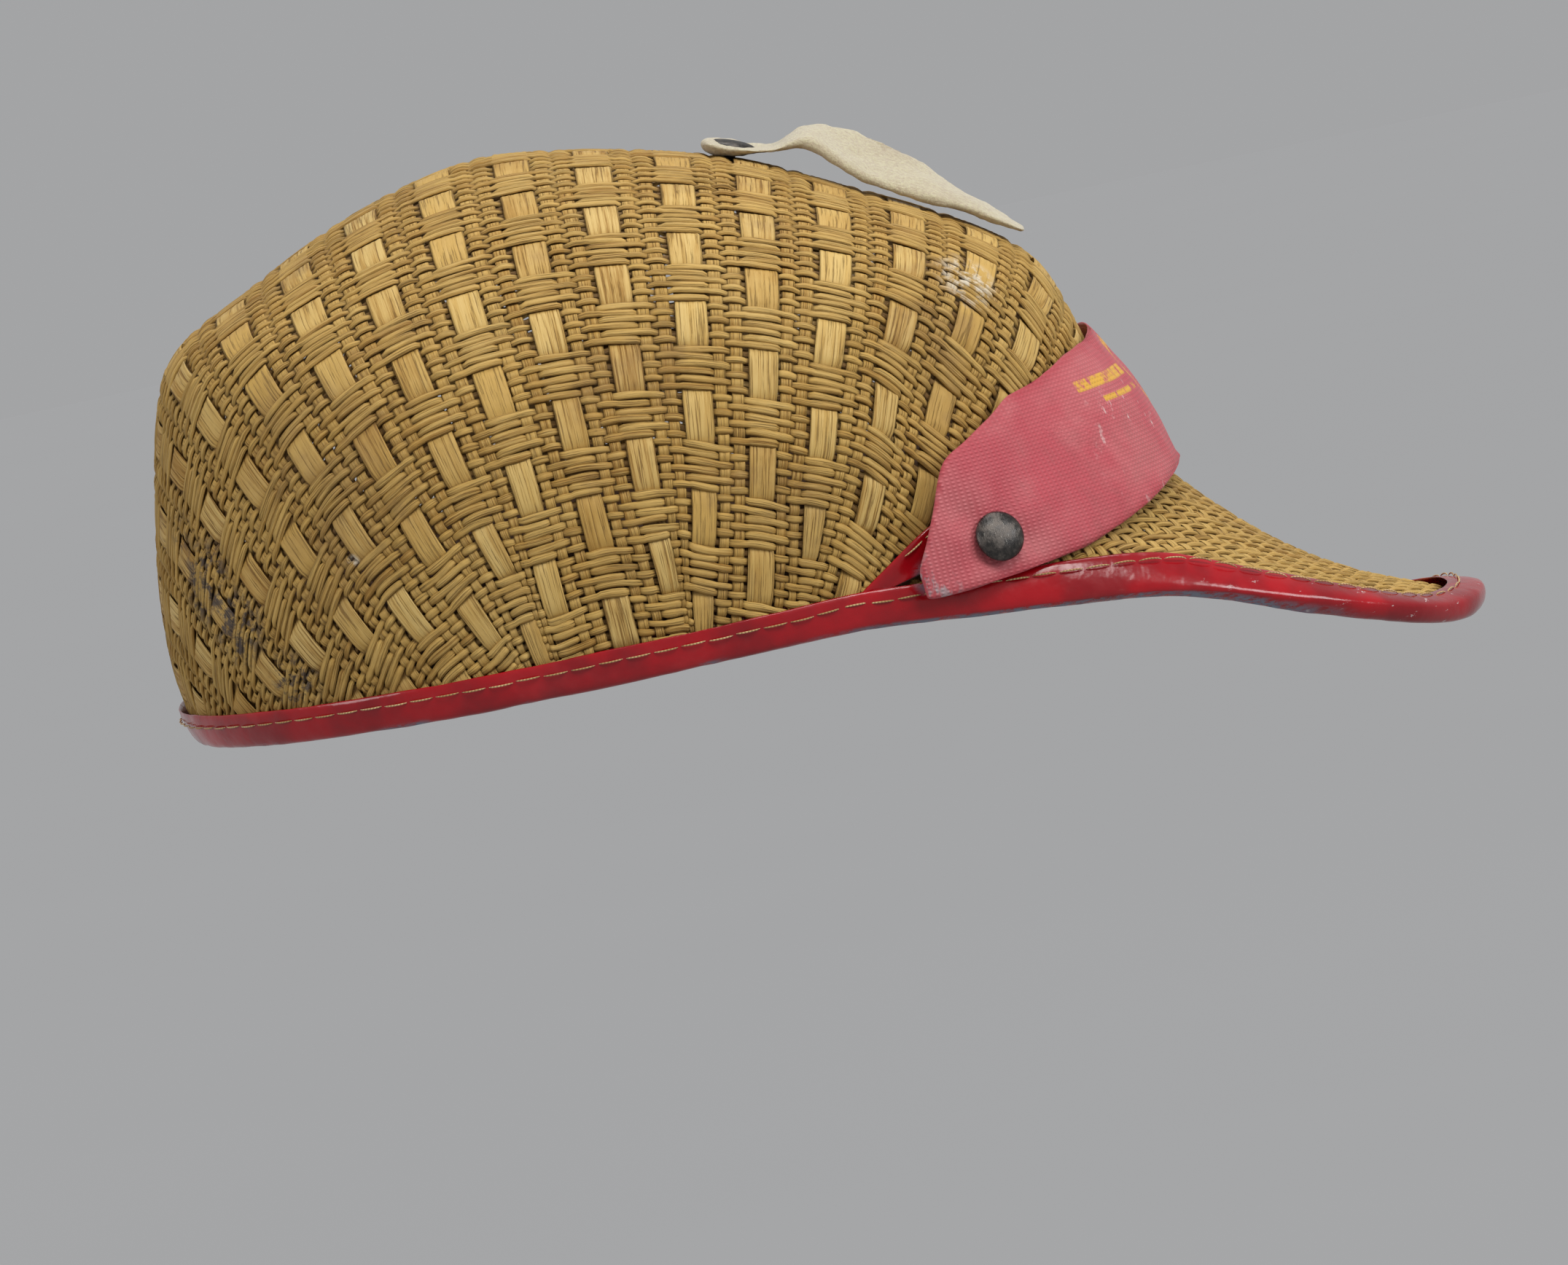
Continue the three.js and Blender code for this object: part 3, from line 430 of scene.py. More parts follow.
def felt_material():
    c = colours()
    made, w, shader = new_material("felt", Specular_IOR_Level=0.2, Sheen_Weight=0.5, Sheen_Roughness=0.6)
    place = place_of(w)
    grime = w.group(group_named("grime"), {"Place": place, "Scale": 60.0})
    fuzz = w.speckle(place, 1500.0, 5.0, 0.7)
    mat = w.speckle(place, 340.0, 4.0, 0.7)
    base = w.blend(w.spread(fuzz, 0.3, 0.7), (0.46, 0.37, 0.25), c.felt)
    base = w.blend(w.times(grime["Dirt"], 0.5), base, (0.36, 0.27, 0.17))
    height = w.plus(fuzz, mat)
    join(w, shader, base, w.spread(fuzz, 0.3, 0.7, 0.98, 0.84), height, 0.0007, 0.8)
    return made


def thread_material():
    c = colours()
    made, w, shader = new_material("thread", Specular_IOR_Level=0.4, Sheen_Weight=0.2)
    along = w.put("ShaderNodeUVMap", uv_map="strand").outputs[0]
    place = place_of(w)
    parts = w.put("ShaderNodeSeparateXYZ", {"Vector": along}).outputs
    turned = w.plus(w.times(parts[0], 9000.0), w.times(parts[1], 6.283))
    ply = w.plus(w.times(w.maths("SINE", turned), 0.5), 0.5)
    tone = w.spread(w.speckle(place, 90.0, 3.0), 0.35, 0.65)
    base = w.blend(tone, c.thread, (0.62, 0.42, 0.20))
    base = w.blend(w.spread(ply, 0.0, 0.5, 0.6, 0.0), base, (0.16, 0.08, 0.03))
    join(w, shader, base, w.spread(ply, 0.0, 1.0, 0.8, 0.55), ply, 0.0002, 0.7)
    return made


def metal_material(name="stud_metal", dull=0.0):
    c = colours()
    made, w, shader = new_material(name, Specular_IOR_Level=0.5)
    place = place_of(w)
    patina = w.speckle(place, 420.0, 5.0, 0.7)
    scratch = w.speckle(w.stretch(place, (4.0, 1.0, 1.0)), 700.0, 3.0, 0.6)
    base = w.blend(w.spread(patina, 0.4, 0.66), c.metal, (0.115, 0.10, 0.088))
    base = w.blend(w.spread(scratch, 0.62, 0.72, 0.0, 0.6), base, (0.30, 0.28, 0.25))
    roughness = w.spread(patina, 0.3, 0.7, 0.30 + dull, 0.55 + dull)
    metallic = w.spread(patina, 0.5, 0.75, 1.0, 0.55)
    join(w, shader, base, roughness, w.plus(patina, scratch), 0.00025, 0.35, metallic)
    return made


def leather_material():
    c = colours()
    made, w, shader = new_material("sweatband", Specular_IOR_Level=0.45)
    place = place_of(w)
    cells = w.put("ShaderNodeTexVoronoi", {"Vector": place, "Scale": 900.0}).outputs["Distance"]
    grime = w.group(group_named("grime"), {"Place": place, "Scale": 40.0})
    base = w.blend(w.spread(cells, 0.0, 0.5), c.leather, (0.17, 0.088, 0.045))
    base = w.blend(w.times(grime["Fade"], 0.5), base, (0.26, 0.155, 0.09))
    height = w.plus(cells, w.speckle(place, 120.0, 3.0))
    join(w, shader, base, w.spread(cells, 0.0, 0.6, 0.55, 0.4), height, 0.0003, 0.5)
    return made


def ground_material():
    c = colours()
    made, w, shader = new_material("ground", Specular_IOR_Level=0.1, Roughness=0.95, Emission_Strength=0.955)
    shader.inputs["Emission Color"].default_value = (*c.ground, 1)
    paper = w.speckle(place_of(w), 3.0, 2.0)
    join(w, shader, w.blend(w.spread(paper, 0.3, 0.7), (0.022, 0.022, 0.023), (0.026, 0.026, 0.027)))
    return made


MADE = {}


def finish_of(name):
    """The material of a slot, made the first time that it is asked for."""
    makers = {
        "straw": straw_material, "binding": binding_material, "band": band_material, "felt": felt_material,
        "thread": thread_material, "stud_metal": metal_material, "sweatband": leather_material,
        "ground": ground_material,
    }
    if name not in MADE:
        MADE[name] = makers[name]()
    return MADE[name]


# ---------- shapes taken from the frame ----------


def copy_of(*names):
    """One bmesh of copies of CAD nodes, with their loose triangles joined up."""
    shape = bmesh.new()
    for name in names:
        shape.from_mesh(frame["nodes"][name].data)
    bmesh.ops.remove_doubles(shape, verts=shape.verts, dist=0.000004)
    return shape


def make_quads(shape):
    """Joins pairs of nearly flat triangles, so that the shape subdivides evenly."""
    bmesh.ops.join_triangles(
        shape, faces=shape.faces, angle_face_threshold=math.radians(50),
        angle_shape_threshold=math.radians(100),
    )


def tree_of(*names):
    shape = copy_of(*names)
    tree = BVHTree.FromBMesh(shape)
    shape.free()
    return tree


def axis_of(node):
    """The line that a turned node was spun about: a point on it and its outward direction."""
    points = np.array([v.co[:] for v in frame["nodes"][node].data.vertices])
    triangles = np.array([p.vertices[:] for p in frame["nodes"][node].data.polygons])
    corners = points[triangles]
    normals = np.cross(corners[:, 1] - corners[:, 0], corners[:, 2] - corners[:, 0])
    areas = np.linalg.norm(normals, axis=1)
    middle = (corners.mean(1) * areas[:, None]).sum(0) / areas.sum()
    spread = np.einsum("ni,nj,n->ij", normals, normals, 1 / np.maximum(areas, 1e-15))
    values, vectors = np.linalg.eigh(spread)
    odd = 0 if abs(values[0] - values[1]) > abs(values[1] - values[2]) else 2
    direction = vectors[:, odd]
    if direction @ (middle - np.array([CROWN_AXIS[0] * MM, 0, 0.03])) < 0:
        direction = -direction
    return Vector(middle), Vector(direction)


def span_along(node, point, direction):
    reach = [(v.co - point).dot(direction) for v in frame["nodes"][node].data.vertices]
    return min(reach), max(reach)


def heal_hole(shape, point, direction, radius=0.0019):
    """Takes a punched hole out of a sheet, so that it can be subdivided evenly."""

    def close(vert):
        away = vert.co - point
        along = away.dot(direction)
        return abs(along) < 0.012 and (away - direction * along).length < radius

    rim = [vert for vert in shape.verts if close(vert)]
    if not rim:
        return
    bmesh.ops.delete(shape, geom=rim, context="VERTS")
    edges = [edge for edge in shape.edges if edge.is_boundary]
    bmesh.ops.holes_fill(shape, edges=edges, sides=0)


def piece_from(shape, name, material, smooth=True):
    mesh = bpy.data.meshes.new(name)
    for face in shape.faces:
        face.smooth = smooth
    shape.to_mesh(mesh)
    shape.free()
    piece = bpy.data.objects.new(name, mesh)
    bpy.context.scene.collection.objects.link(piece)
    mesh.materials.append(material)
    return piece


def subdivided(shape, levels):
    """The shape after Catmull-Clark subdivision, as a new bmesh."""
    piece = piece_from(shape, "passing", finish_of("thread"))
    modifier = piece.modifiers.new("Subdivision", "SUBSURF")
    modifier.levels = modifier.render_levels = levels
    evaluated = piece.evaluated_get(bpy.context.evaluated_depsgraph_get())
    fine = bmesh.new()
    fine.from_mesh(evaluated.to_mesh())
    evaluated.to_mesh_clear()
    mesh = piece.data
    bpy.data.objects.remove(piece)
    bpy.data.meshes.remove(mesh)
    return fine


def ripple(shape, size_m, amount, seed=0.0):
    """Moves each vertex along its normal by smooth noise."""
    shape.normal_update()
    start = Vector((seed,) * 3)
    moves = [vert.normal * amount * noise.noise(vert.co / size_m + start) for vert in shape.verts]
    for vert, move in zip(shape.verts, moves):
        vert.co += move


# ---------- the woven sheets ----------


class Wall:
    """The middle surface of a straw sheet, as its distance in mm from a point under it, by direction."""

    STEP = 2

    def __init__(self, node, centre, upright):
        self.tree = tree_of(node)
        self.centre = np.array(centre, float)
        elevations = np.radians(np.arange(-88, 91, self.STEP))
        azimuths = np.radians(np.arange(0, 360, self.STEP))
        radius = np.full((len(elevations), len(azimuths)), np.nan)
        start = Vector(self.centre * MM)
        for i, elevation in enumerate(elevations):
            for j, azimuth in enumerate(azimuths):
                out = math.cos(elevation)
                way = Vector((out * math.cos(azimuth), out * math.sin(azimuth), math.sin(elevation)))
                first = self.tree.ray_cast(start, way)[3]
                if first is None:
                    continue
                second = self.tree.ray_cast(start + way * (first + 0.0001), way)[3]
                depth = 0.0011 if second is None or second > 0.006 else (second + 0.0001) / 2
                radius[i, j] = (first + depth) / MM
        flat = np.cos(elevations)[:, None] if upright else 1.0
        self.hem = self.lowest_by_angle(node) if upright else None
        kept = self.fill(radius * flat) / (np.maximum(flat, 0.02) if upright else 1.0)
        kept[np.isfinite(radius)] = radius[np.isfinite(radius)]
        self.radius = self.soften(np.minimum(kept, 400.0))

    def lowest_by_angle(self, node):
        """The sheet's lowest edge in mm, for each 5 degrees of plan angle about the centre."""
        points = np.array([v.co[:] for v in frame["nodes"][node].data.vertices]) / MM
        angle = np.degrees(np.arctan2(points[:, 1] - self.centre[1], points[:, 0] - self.centre[0])) % 360
        near = [np.abs((angle - middle + 180) % 360 - 180) < 5 for middle in range(0, 360, 5)]
        return np.array([points[chosen, 2].min() for chosen in near])

    @staticmethod
    def around(table):
        padded = np.concatenate([table[:1], table, table[-1:]])
        return padded[:-2], padded[2:], np.roll(table, 1, 1), np.roll(table, -1, 1)

    def fill(self, table):
        missing = ~np.isfinite(table)
        while np.isnan(table).any():
            sides = np.stack(self.around(table))
            known = np.isfinite(sides)
            mean = np.where(known, sides, 0).sum(0) / np.maximum(known.sum(0), 1)
            gaps = np.isnan(table) & known.any(0)
            table = np.where(gaps, mean, table)
        for _ in range(150):
            table = np.where(missing, sum(self.around(table)) / 4, table)
        return table

    def soften(self, table):
        for _ in range(3):
            table = 0.5 * table + 0.125 * sum(self.around(table))
        return table

    def reach(self, ways):
        elevation = np.degrees(np.arcsin(np.clip(ways[..., 2], -1, 1)))
        azimuth = np.degrees(np.arctan2(ways[..., 1], ways[..., 0])) % 360
        row = np.clip((elevation + 88) / self.STEP, 0, self.radius.shape[0] - 1.001)
        column = azimuth / self.STEP
        i, j = np.floor(row).astype(int), np.floor(column).astype(int)
        y, x = row - i, column - j
        count = self.radius.shape[1]
        j, k = j % count, (j + 1) % count
        return (
            self.radius[i, j] * (1 - y) * (1 - x) + self.radius[i, k] * (1 - y) * x
            + self.radius[i + 1, j] * y * (1 - x) + self.radius[i + 1, k] * y * x
        )

    def project(self, points):
        ways = points - self.centre
        ways /= np.linalg.norm(ways, axis=-1, keepdims=True)
        return self.centre + ways * self.reach(ways)[..., None]

    def hem_below(self, point):
        away = point - self.centre
        angle = math.degrees(math.atan2(away[1], away[0])) % 360
        return np.interp(angle, np.arange(0, 365, 5), np.append(self.hem, self.hem[0]))

    def holds(self, points):
        """Which points lie inside the sheet's solid."""
        inside = np.zeros(len(points), bool)
        centre = Vector(self.centre * MM)
        for i, point in enumerate(points):
            place = Vector(point * MM)
            if self.hem is not None and point[2] < self.hem_below(point) + HEM_CLEARANCE:
                continue
            nearest, normal, _, away = self.tree.find_nearest(place)
            facing = abs(normal.dot((place - centre).normalized())) > 0.6
            broad = place.z > TEMPLE_TOP and away < 0.0032 and facing
            inside[i] = broad or away < 0.0022 and (place - nearest).dot(normal) < 0.0001
        return inside


def unit(vectors):
    return vectors / np.maximum(np.linalg.norm(vectors, axis=-1, keepdims=True), 1e-9)


class Net:
    """Two families of threads laid over a wall from one starting point, GRID mm apart."""

    def __init__(self, wall, start, turn, reach, passes=260):
        self.wall = wall
        self.count = int(math.ceil(reach / GRID))
        origin = wall.project(np.array(start, float))
        fore = np.array([math.cos(turn), math.sin(turn), 0.0])
        side = np.array([-math.sin(turn), math.cos(turn), 0.0])
        along = unit(wall.project(origin + 2 * fore) - wall.project(origin - 2 * fore))
        across = wall.project(origin + 2 * side) - wall.project(origin - 2 * side)
        across = unit(across - along * (across @ along))
        self.points = self.lay_out(origin, along, across)
        self.relax(passes)

    def lay_out(self, origin, along, across):
        turns = np.radians(np.arange(0, 361, 5))
        way = np.cos(turns)[:, None] * along + np.sin(turns)[:, None] * across
        here = np.repeat(origin[None], len(turns), 0)
        rings = [here]
        for _ in range(int(self.count * 1.45) + 2):
            ahead = self.wall.project(here + way * GRID)
            way = unit(ahead - here)
            ahead = self.wall.project(here + way * GRID)
            here = ahead
            rings.append(here)
        rings = np.array(rings)
        steps = np.arange(-self.count, self.count + 1)
        u, v = np.meshgrid(steps, steps, indexing="xy")
        out = np.hypot(u, v)
        column = (np.degrees(np.arctan2(v, u)) % 360) / 5
        i, j = np.minimum(np.floor(out).astype(int), len(rings) - 2), np.floor(column).astype(int)
        y, x = (out - i)[..., None], (column - j)[..., None]
        return (
            rings[i, j] * (1 - y) * (1 - x) + rings[i, j + 1] * (1 - y) * x
            + rings[i + 1, j] * y * (1 - x) + rings[i + 1, j + 1] * y * x
        )

    def relax(self, passes):
        """Evens the threads out: their length is kept, and they may shear but not fold."""
        p = self.points
        middle = p[self.count, self.count].copy()
        links = [
            ((0, 1), GRID, None), ((1, 0), GRID, None),
            ((1, 1), 0.95 * GRID, "apart"), ((1, -1), 0.95 * GRID, "apart"),
        ]
        for turn in range(passes):
            move = np.zeros_like(p)
            for (down, right), length, rule in links:
                rows, columns = slice(0, p.shape[0] - down), slice(max(0, -right), p.shape[1] - max(0, right))
                far_rows = slice(down, p.shape[0])
                far_columns = slice(max(0, -right) + right, p.shape[1] - max(0, right) + right)
                gap = p[far_rows, far_columns] - p[rows, columns]
                distance = np.maximum(np.linalg.norm(gap, axis=-1, keepdims=True), 1e-6)
                error = (distance - length) / distance
                if rule == "apart":
                    error = np.minimum(error, 0)
                share = 0.2 * error * gap
                move[rows, columns] += share
                move[far_rows, far_columns] -= share
            smooth = np.zeros_like(p)
            smooth[1:-1, 1:-1] = (p[:-2, 1:-1] + p[2:, 1:-1] + p[1:-1, :-2] + p[1:-1, 2:]) / 4 - p[1:-1, 1:-1]
            weight = 0.08 if turn < passes - 14 else 0.3
            p = self.wall.project(p + (move if turn < passes - 8 else 0) + weight * smooth)
            p[self.count, self.count] = middle
        self.points = p

    @staticmethod
    def weights(t):
        inner = 3 * t**3 - 6 * t**2 + 4
        value = np.stack([(1 - t) ** 3, inner, -3 * t**3 + 3 * t**2 + 3 * t + 1, t**3], -1) / 6
        slope = np.stack([-0.5 * (1 - t) ** 2, 1.5 * t**2 - 2 * t, -1.5 * t**2 + t + 0.5, 0.5 * t**2], -1)
        return value, slope

    def at(self, u, v):
        """Places, and the net's two tangents there, at thread lengths u and v in mm."""
        x, y = np.asarray(u) / GRID + self.count, np.asarray(v) / GRID + self.count
        i = np.clip(np.floor(y).astype(int), 1, 2 * self.count - 2)
        j = np.clip(np.floor(x).astype(int), 1, 2 * self.count - 2)
        (wy, sy), (wx, sx) = self.weights(y - i), self.weights(x - j)
        patch = np.stack([
            np.stack([self.points[i + a, j + b] for b in (-1, 0, 1, 2)], 1) for a in (-1, 0, 1, 2)
        ], 1)
        place = np.einsum("nabk,na,nb->nk", patch, wy, wx)
        by_u = np.einsum("nabk,na,nb->nk", patch, wy, sx) / GRID
        by_v = np.einsum("nabk,na,nb->nk", patch, sy, wx) / GRID
        return place, by_u, by_v


class Strands:
    """Collects closed strands as rings of vertices, and makes one mesh of them."""

    def __init__(self, name, sections):
        self.name = name
        self.section = np.array(sections, float)
        self.vertices, self.rings, self.maps, self.values = [], [], [], []
        self.count = 0

    def add(self, centre, across, up, half_width, half_height, along, values):
        """Adds one strand; centre, across and up are per ring, values holds tint, lift and the pale value for
        wear and painted highlight.
        """
        ends = np.ones(len(centre))
        ends[[0, -1]] = 0.55
        wide = (half_width * ends)[:, None, None] * across[:, None, :] * self.section[None, :, :1]
        high = (half_height * ends)[:, None, None] * up[:, None, :] * self.section[None, :, 1:2]
        self.vertices.append(((centre[:, None, :] + wide + high) * MM).reshape(-1, 3))
        self.rings.append((self.count, len(centre)))
        self.maps.append(along)
        self.values.append(np.repeat(np.stack(values, -1), len(self.section), 0))
        self.count += len(centre) * len(self.section)

    def build(self, material):
        size_of = len(self.section)
        quads, sides, lengths, caps = [], [], [], []
        step = np.arange(size_of)
        following = (step + 1) % size_of
        for (first, count), along in zip(self.rings, self.maps):
            ring = first + np.arange(count - 1)[:, None] * size_of
            corners = [ring + step, ring + following, ring + size_of + following, ring + size_of + step]
            quads.append(np.stack(corners, -1).reshape(-1, 4))
            edge = np.stack([step, step + 1, step + 1, step], -1) / size_of
            sides.append(np.repeat(edge[None], count - 1, 0).reshape(-1, 4))
            ends = np.stack([along[:-1], along[:-1], along[1:], along[1:]], -1)
            lengths.append(np.repeat(ends[:, None], size_of, 1).reshape(-1, 4))
            caps.append(first + step[::-1])
            caps.append(first + (count - 1) * size_of + step)
        quads, caps = np.concatenate(quads), np.array(caps)
        mesh = bpy.data.meshes.new(self.name)
        vertices = np.concatenate(self.vertices)
        mesh.vertices.add(len(vertices))
        mesh.vertices.foreach_set("co", vertices.ravel())
        mesh.loops.add(quads.size + caps.size)
        mesh.loops.foreach_set("vertex_index", np.concatenate([quads.ravel(), caps.ravel()]))
        mesh.polygons.add(len(quads) + len(caps))
        starts = np.concatenate([np.arange(len(quads)) * 4, quads.size + np.arange(len(caps)) * size_of])
        mesh.polygons.foreach_set("loop_start", starts)
        mesh.update(calc_edges=True)
        uv = mesh.uv_layers.new(name="strand")
        flat = np.zeros((quads.size + caps.size, 2))
        flat[: quads.size, 0] = np.concatenate(lengths).ravel() * MM
        flat[: quads.size, 1] = np.concatenate(sides).ravel() * 0.01
        uv.data.foreach_set("uv", flat.ravel())
        values = np.concatenate(self.values)
        for index, attribute in enumerate(("tint", "lift", "wear_and_highlight")):
            layer = mesh.attributes.new(attribute, "FLOAT", "POINT")
            layer.data.foreach_set("value", values[:, index].astype(np.float32))
        mesh.shade_smooth()
        mesh.validate()
        piece = bpy.data.objects.new(self.name, mesh)
        bpy.context.scene.collection.objects.link(piece)
        mesh.materials.append(material)
        return piece


ROUND = [(-1, 0.0), (-0.55, 0.85), (0.35, 1.0), (1, 0.1), (0.6, -0.9), (-0.5, -0.9)]
FLAT = [(-1, 0), (-0.7, 0.8), (-0.2, 0.95), (0.25, 0.9), (0.72, 0.85), (1, 0), (0.6, -0.8), (-0.6, -0.8)]
GROOVED = [
    (-1, 0.1), (-0.86, 0.95), (-0.62, 0.6), (-0.42, 1.05), (-0.2, 0.75), (0.02, 1.1), (0.24, 0.7),
    (0.46, 1.05), (0.66, 0.6), (0.87, 0.95), (1, 0.1), (0.7, -0.9), (0.0, -0.8), (-0.7, -0.9),
]


def turned(section):
    return [section[0]] + section[:0:-1]


def runs_of(mask, least=4):
    """The unbroken runs of a mask, as (first, past the last)."""
    edges = np.flatnonzero(np.diff(np.concatenate([[0], mask.astype(int), [0]])))
    return [(a, b) for a, b in edges.reshape(-1, 2) if b - a >= least]


def wander(length, seed, pitch):
    """Smooth random drift from -1 to 1 along a line of lengths in mm."""
    return np.array([noise.noise(Vector((value / pitch, seed * 7.31, 0.5))) for value in length]) * 1.8


class Weave:
    """The mat: round weft strands along u, and wide and narrow warp ribbons along v."""

    def __init__(self, name, net, reach, seed, scale=1.0):
        self.name, self.net, self.reach, self.scale = name, net, reach, scale
        self.random = np.random.default_rng(seed)
        self.pieces = {}

    def strands(self, kind):
        """The piece that strands of a kind are collected in, such as weft_left_a or wide_warp."""
        if kind not in self.pieces:
            section = {"weft": ROUND, "narrow": FLAT, "wide": GROOVED}[kind.split("_")[0]]
            self.pieces[kind] = Strands(f"{self.name}_{kind}", turned(section))
        return self.pieces[kind]

    def lay(self, kind, u, v, way, lift, half_width, half_height, wear_and_highlight):
        """One strand along thread lengths u, v, cut where it leaves the sheet."""
        place, by_u, by_v = self.net.at(u * self.scale, v * self.scale)
        up = unit(np.cross(by_u, by_v))
        tangent, other = (by_u, by_v) if way == "u" else (by_v, by_u)
        tangent = unit(tangent)
        across = unit(np.cross(up, tangent))
        room = np.abs((across * other).sum(1)) * self.scale
        tone = 0.5 + 0.27 * self.random.normal()
        tint = np.clip(tone + 0.3 * wander(u + v, self.random.uniform(0, 90), 14), 0, 1)
        offset = self.random.uniform(0, 900)
        for first, last in runs_of(self.net.wall.holds(place)):
            s = slice(first, last)
            narrowing = np.clip(room[s], 0.35, 1.15)
            gaps = np.linalg.norm(np.diff(place[s], axis=0), axis=1)
            along = np.concatenate([[0], np.cumsum(gaps)]) + offset
            self.strands(kind).add(
                place[s] + up[s] * lift[s, None], across[s], up[s],
                half_width[s] * narrowing, half_height * np.ones(last - first), along,
                (tint[s], lift[s] / FULL_LIFT, wear_and_highlight[s]),
            )

    def exposed(self, block, repeat):
        return (block + repeat) % 2 == 0

    def weft(self):
        rows = int(self.reach / ROW)
        repeats = np.arange(-int(self.reach / REPEAT) - 1, int(self.reach / REPEAT) + 1)
        spots = np.array([0.5, 2.2, 3.9, 5.6, 7.3, 8.05, 8.9, 9.9, 10.9, 12.1, 13.3, 14.3, 15.3, 16.35])
        pinch = [1, 1.05, 1.08, 1.05, 1, 0.92, 0.97, 1, 0.97, 0.9, 0.97, 1, 0.97, 0.92]  # at each spot
        pinch = np.tile(np.array(pinch), len(repeats))
        half = sizes().weft_width / MM / 2
        for row in range(-rows, rows + 1):
            block, odd = row // 6, row % 2 == 1
            on_wide = np.where([self.exposed(block, r) for r in repeats], -1.0, 1.0)
            on_first, on_second = (1.0, -1.0) if odd else (-1.0, 1.0)
            levels = np.zeros((len(repeats), len(spots)))
            levels[:, 0:5] = on_wide[:, None] * np.array([0.86, 1, 1, 1, 0.86])
            levels[:, 6:9] = on_first * np.array([0.8, 1, 0.8])
            levels[:, 10:13] = on_second * np.array([0.8, 1, 0.8])
            levels[:, 5] = (on_wide + on_first) / 2
            levels[:, 9] = (on_first + on_second) / 2
            levels[:, 13] = (on_second + np.roll(on_wide, -1)) / 2
            level = levels.ravel()
            u = (repeats[:, None] * REPEAT + spots).ravel()
            bow = wander(u, row * 1.7 + 3, 11)
            bunch = (2.5 - row % 6) * 0.07 * np.repeat(on_wide > 0, len(spots))
            v = row * ROW + 0.24 * bow + bunch
            lift = 0.5 * level + 0.05 * wander(u, row * 2.3, 3.5)
            wide = half * (1.03 * pinch * self.random.uniform(0.92, 1.06) + 0.1 * wander(u, row + 40.0, 9))
            # Painted highlight with some wear: where the weft covers the wide ribbon, it is paler where it
            # rides up.
            wear_and_highlight = np.clip(0.25 * np.maximum(level, 0) * np.repeat(on_wide > 0, len(spots)), 0, 1)
            kind = f"weft_{'left' if row >= 0 else 'right'}_{'a' if row % 2 else 'b'}"
            self.lay(kind, u, v, "u", lift, wide, 0.42, wear_and_highlight)

    def narrow(self):
        rows = int(self.reach / ROW)
        steps = np.arange(-rows * 3, rows * 3 + 1)
        v = steps * ROW / 3
        half = sizes().narrow_width / MM / 2
        # Under odd rows and over even ones, or the other way about.
        for repeat in range(-int(self.reach / REPEAT) - 1, int(self.reach / REPEAT) + 1):
            for spot, sense in ((NARROW_1, 1.0), (NARROW_2, -1.0)):
                phase = np.cos(np.pi * v / ROW)
                lift = 0.36 * sense * np.sign(phase) * np.abs(phase) ** 0.7
                u = repeat * REPEAT + spot + 0.22 * wander(v, repeat * 3.1 + spot, 19)
                wide = half * (1.0 + 0.06 * wander(v, repeat + spot, 9))
                # Painted highlight with some wear: the ribbon is paler where it rises over the weft.
                wear_and_highlight = 0.3 * np.maximum(lift, 0)
                kind = "narrow_warp_a" if sense > 0 else "narrow_warp_b"
                self.lay(kind, u, v, "v", lift, wide, 0.19, wear_and_highlight)

    def wide(self):
        rows = int(self.reach / ROW)
        steps = np.arange(-rows * 3 // 2, rows * 3 // 2 + 1)
        v = steps * ROW / 1.5
        half = sizes().wide_width / MM / 2
        for repeat in range(-int(self.reach / REPEAT) - 1, int(self.reach / REPEAT) + 1):
            block = (v / ROW + 0.5) / 6
            shown = np.where([self.exposed(int(math.floor(b)), repeat) for b in block], 1.0, -1.0)
            into = np.minimum(block % 1, 1 - block % 1) * 6 * ROW
            ease = np.clip(into / 1.15, 0, 1)
            lift = shown * (0.46 * ease + 0.16 * np.sin(np.pi * (block % 1)) * (shown > 0))
            u = repeat * REPEAT + WIDE + 0.2 * wander(v, repeat * 5.7, 30)
            fresh = np.array([noise.noise(Vector((math.floor(b) * 3.7, repeat * 1.9, 0.3))) for b in block])
            # Wear only here: each shown block of a wide ribbon is paled by its own amount.
            wear_and_highlight = np.clip((shown > 0) * (0.42 + 1.1 * fresh), 0, 1)
            wide = half * (0.97 + 0.03 * ease * (shown > 0) + 0.03 * wander(v, repeat + 77.0, 23))
            self.lay("wide_warp", u, v, "v", lift, wide, 0.20, wear_and_highlight)

    def build(self, material):
        self.weft()
        self.narrow()
        self.wide()
        made = [strands.build(material) for strands in self.pieces.values()]
        for piece in made:
            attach(piece, "cap")
        return made


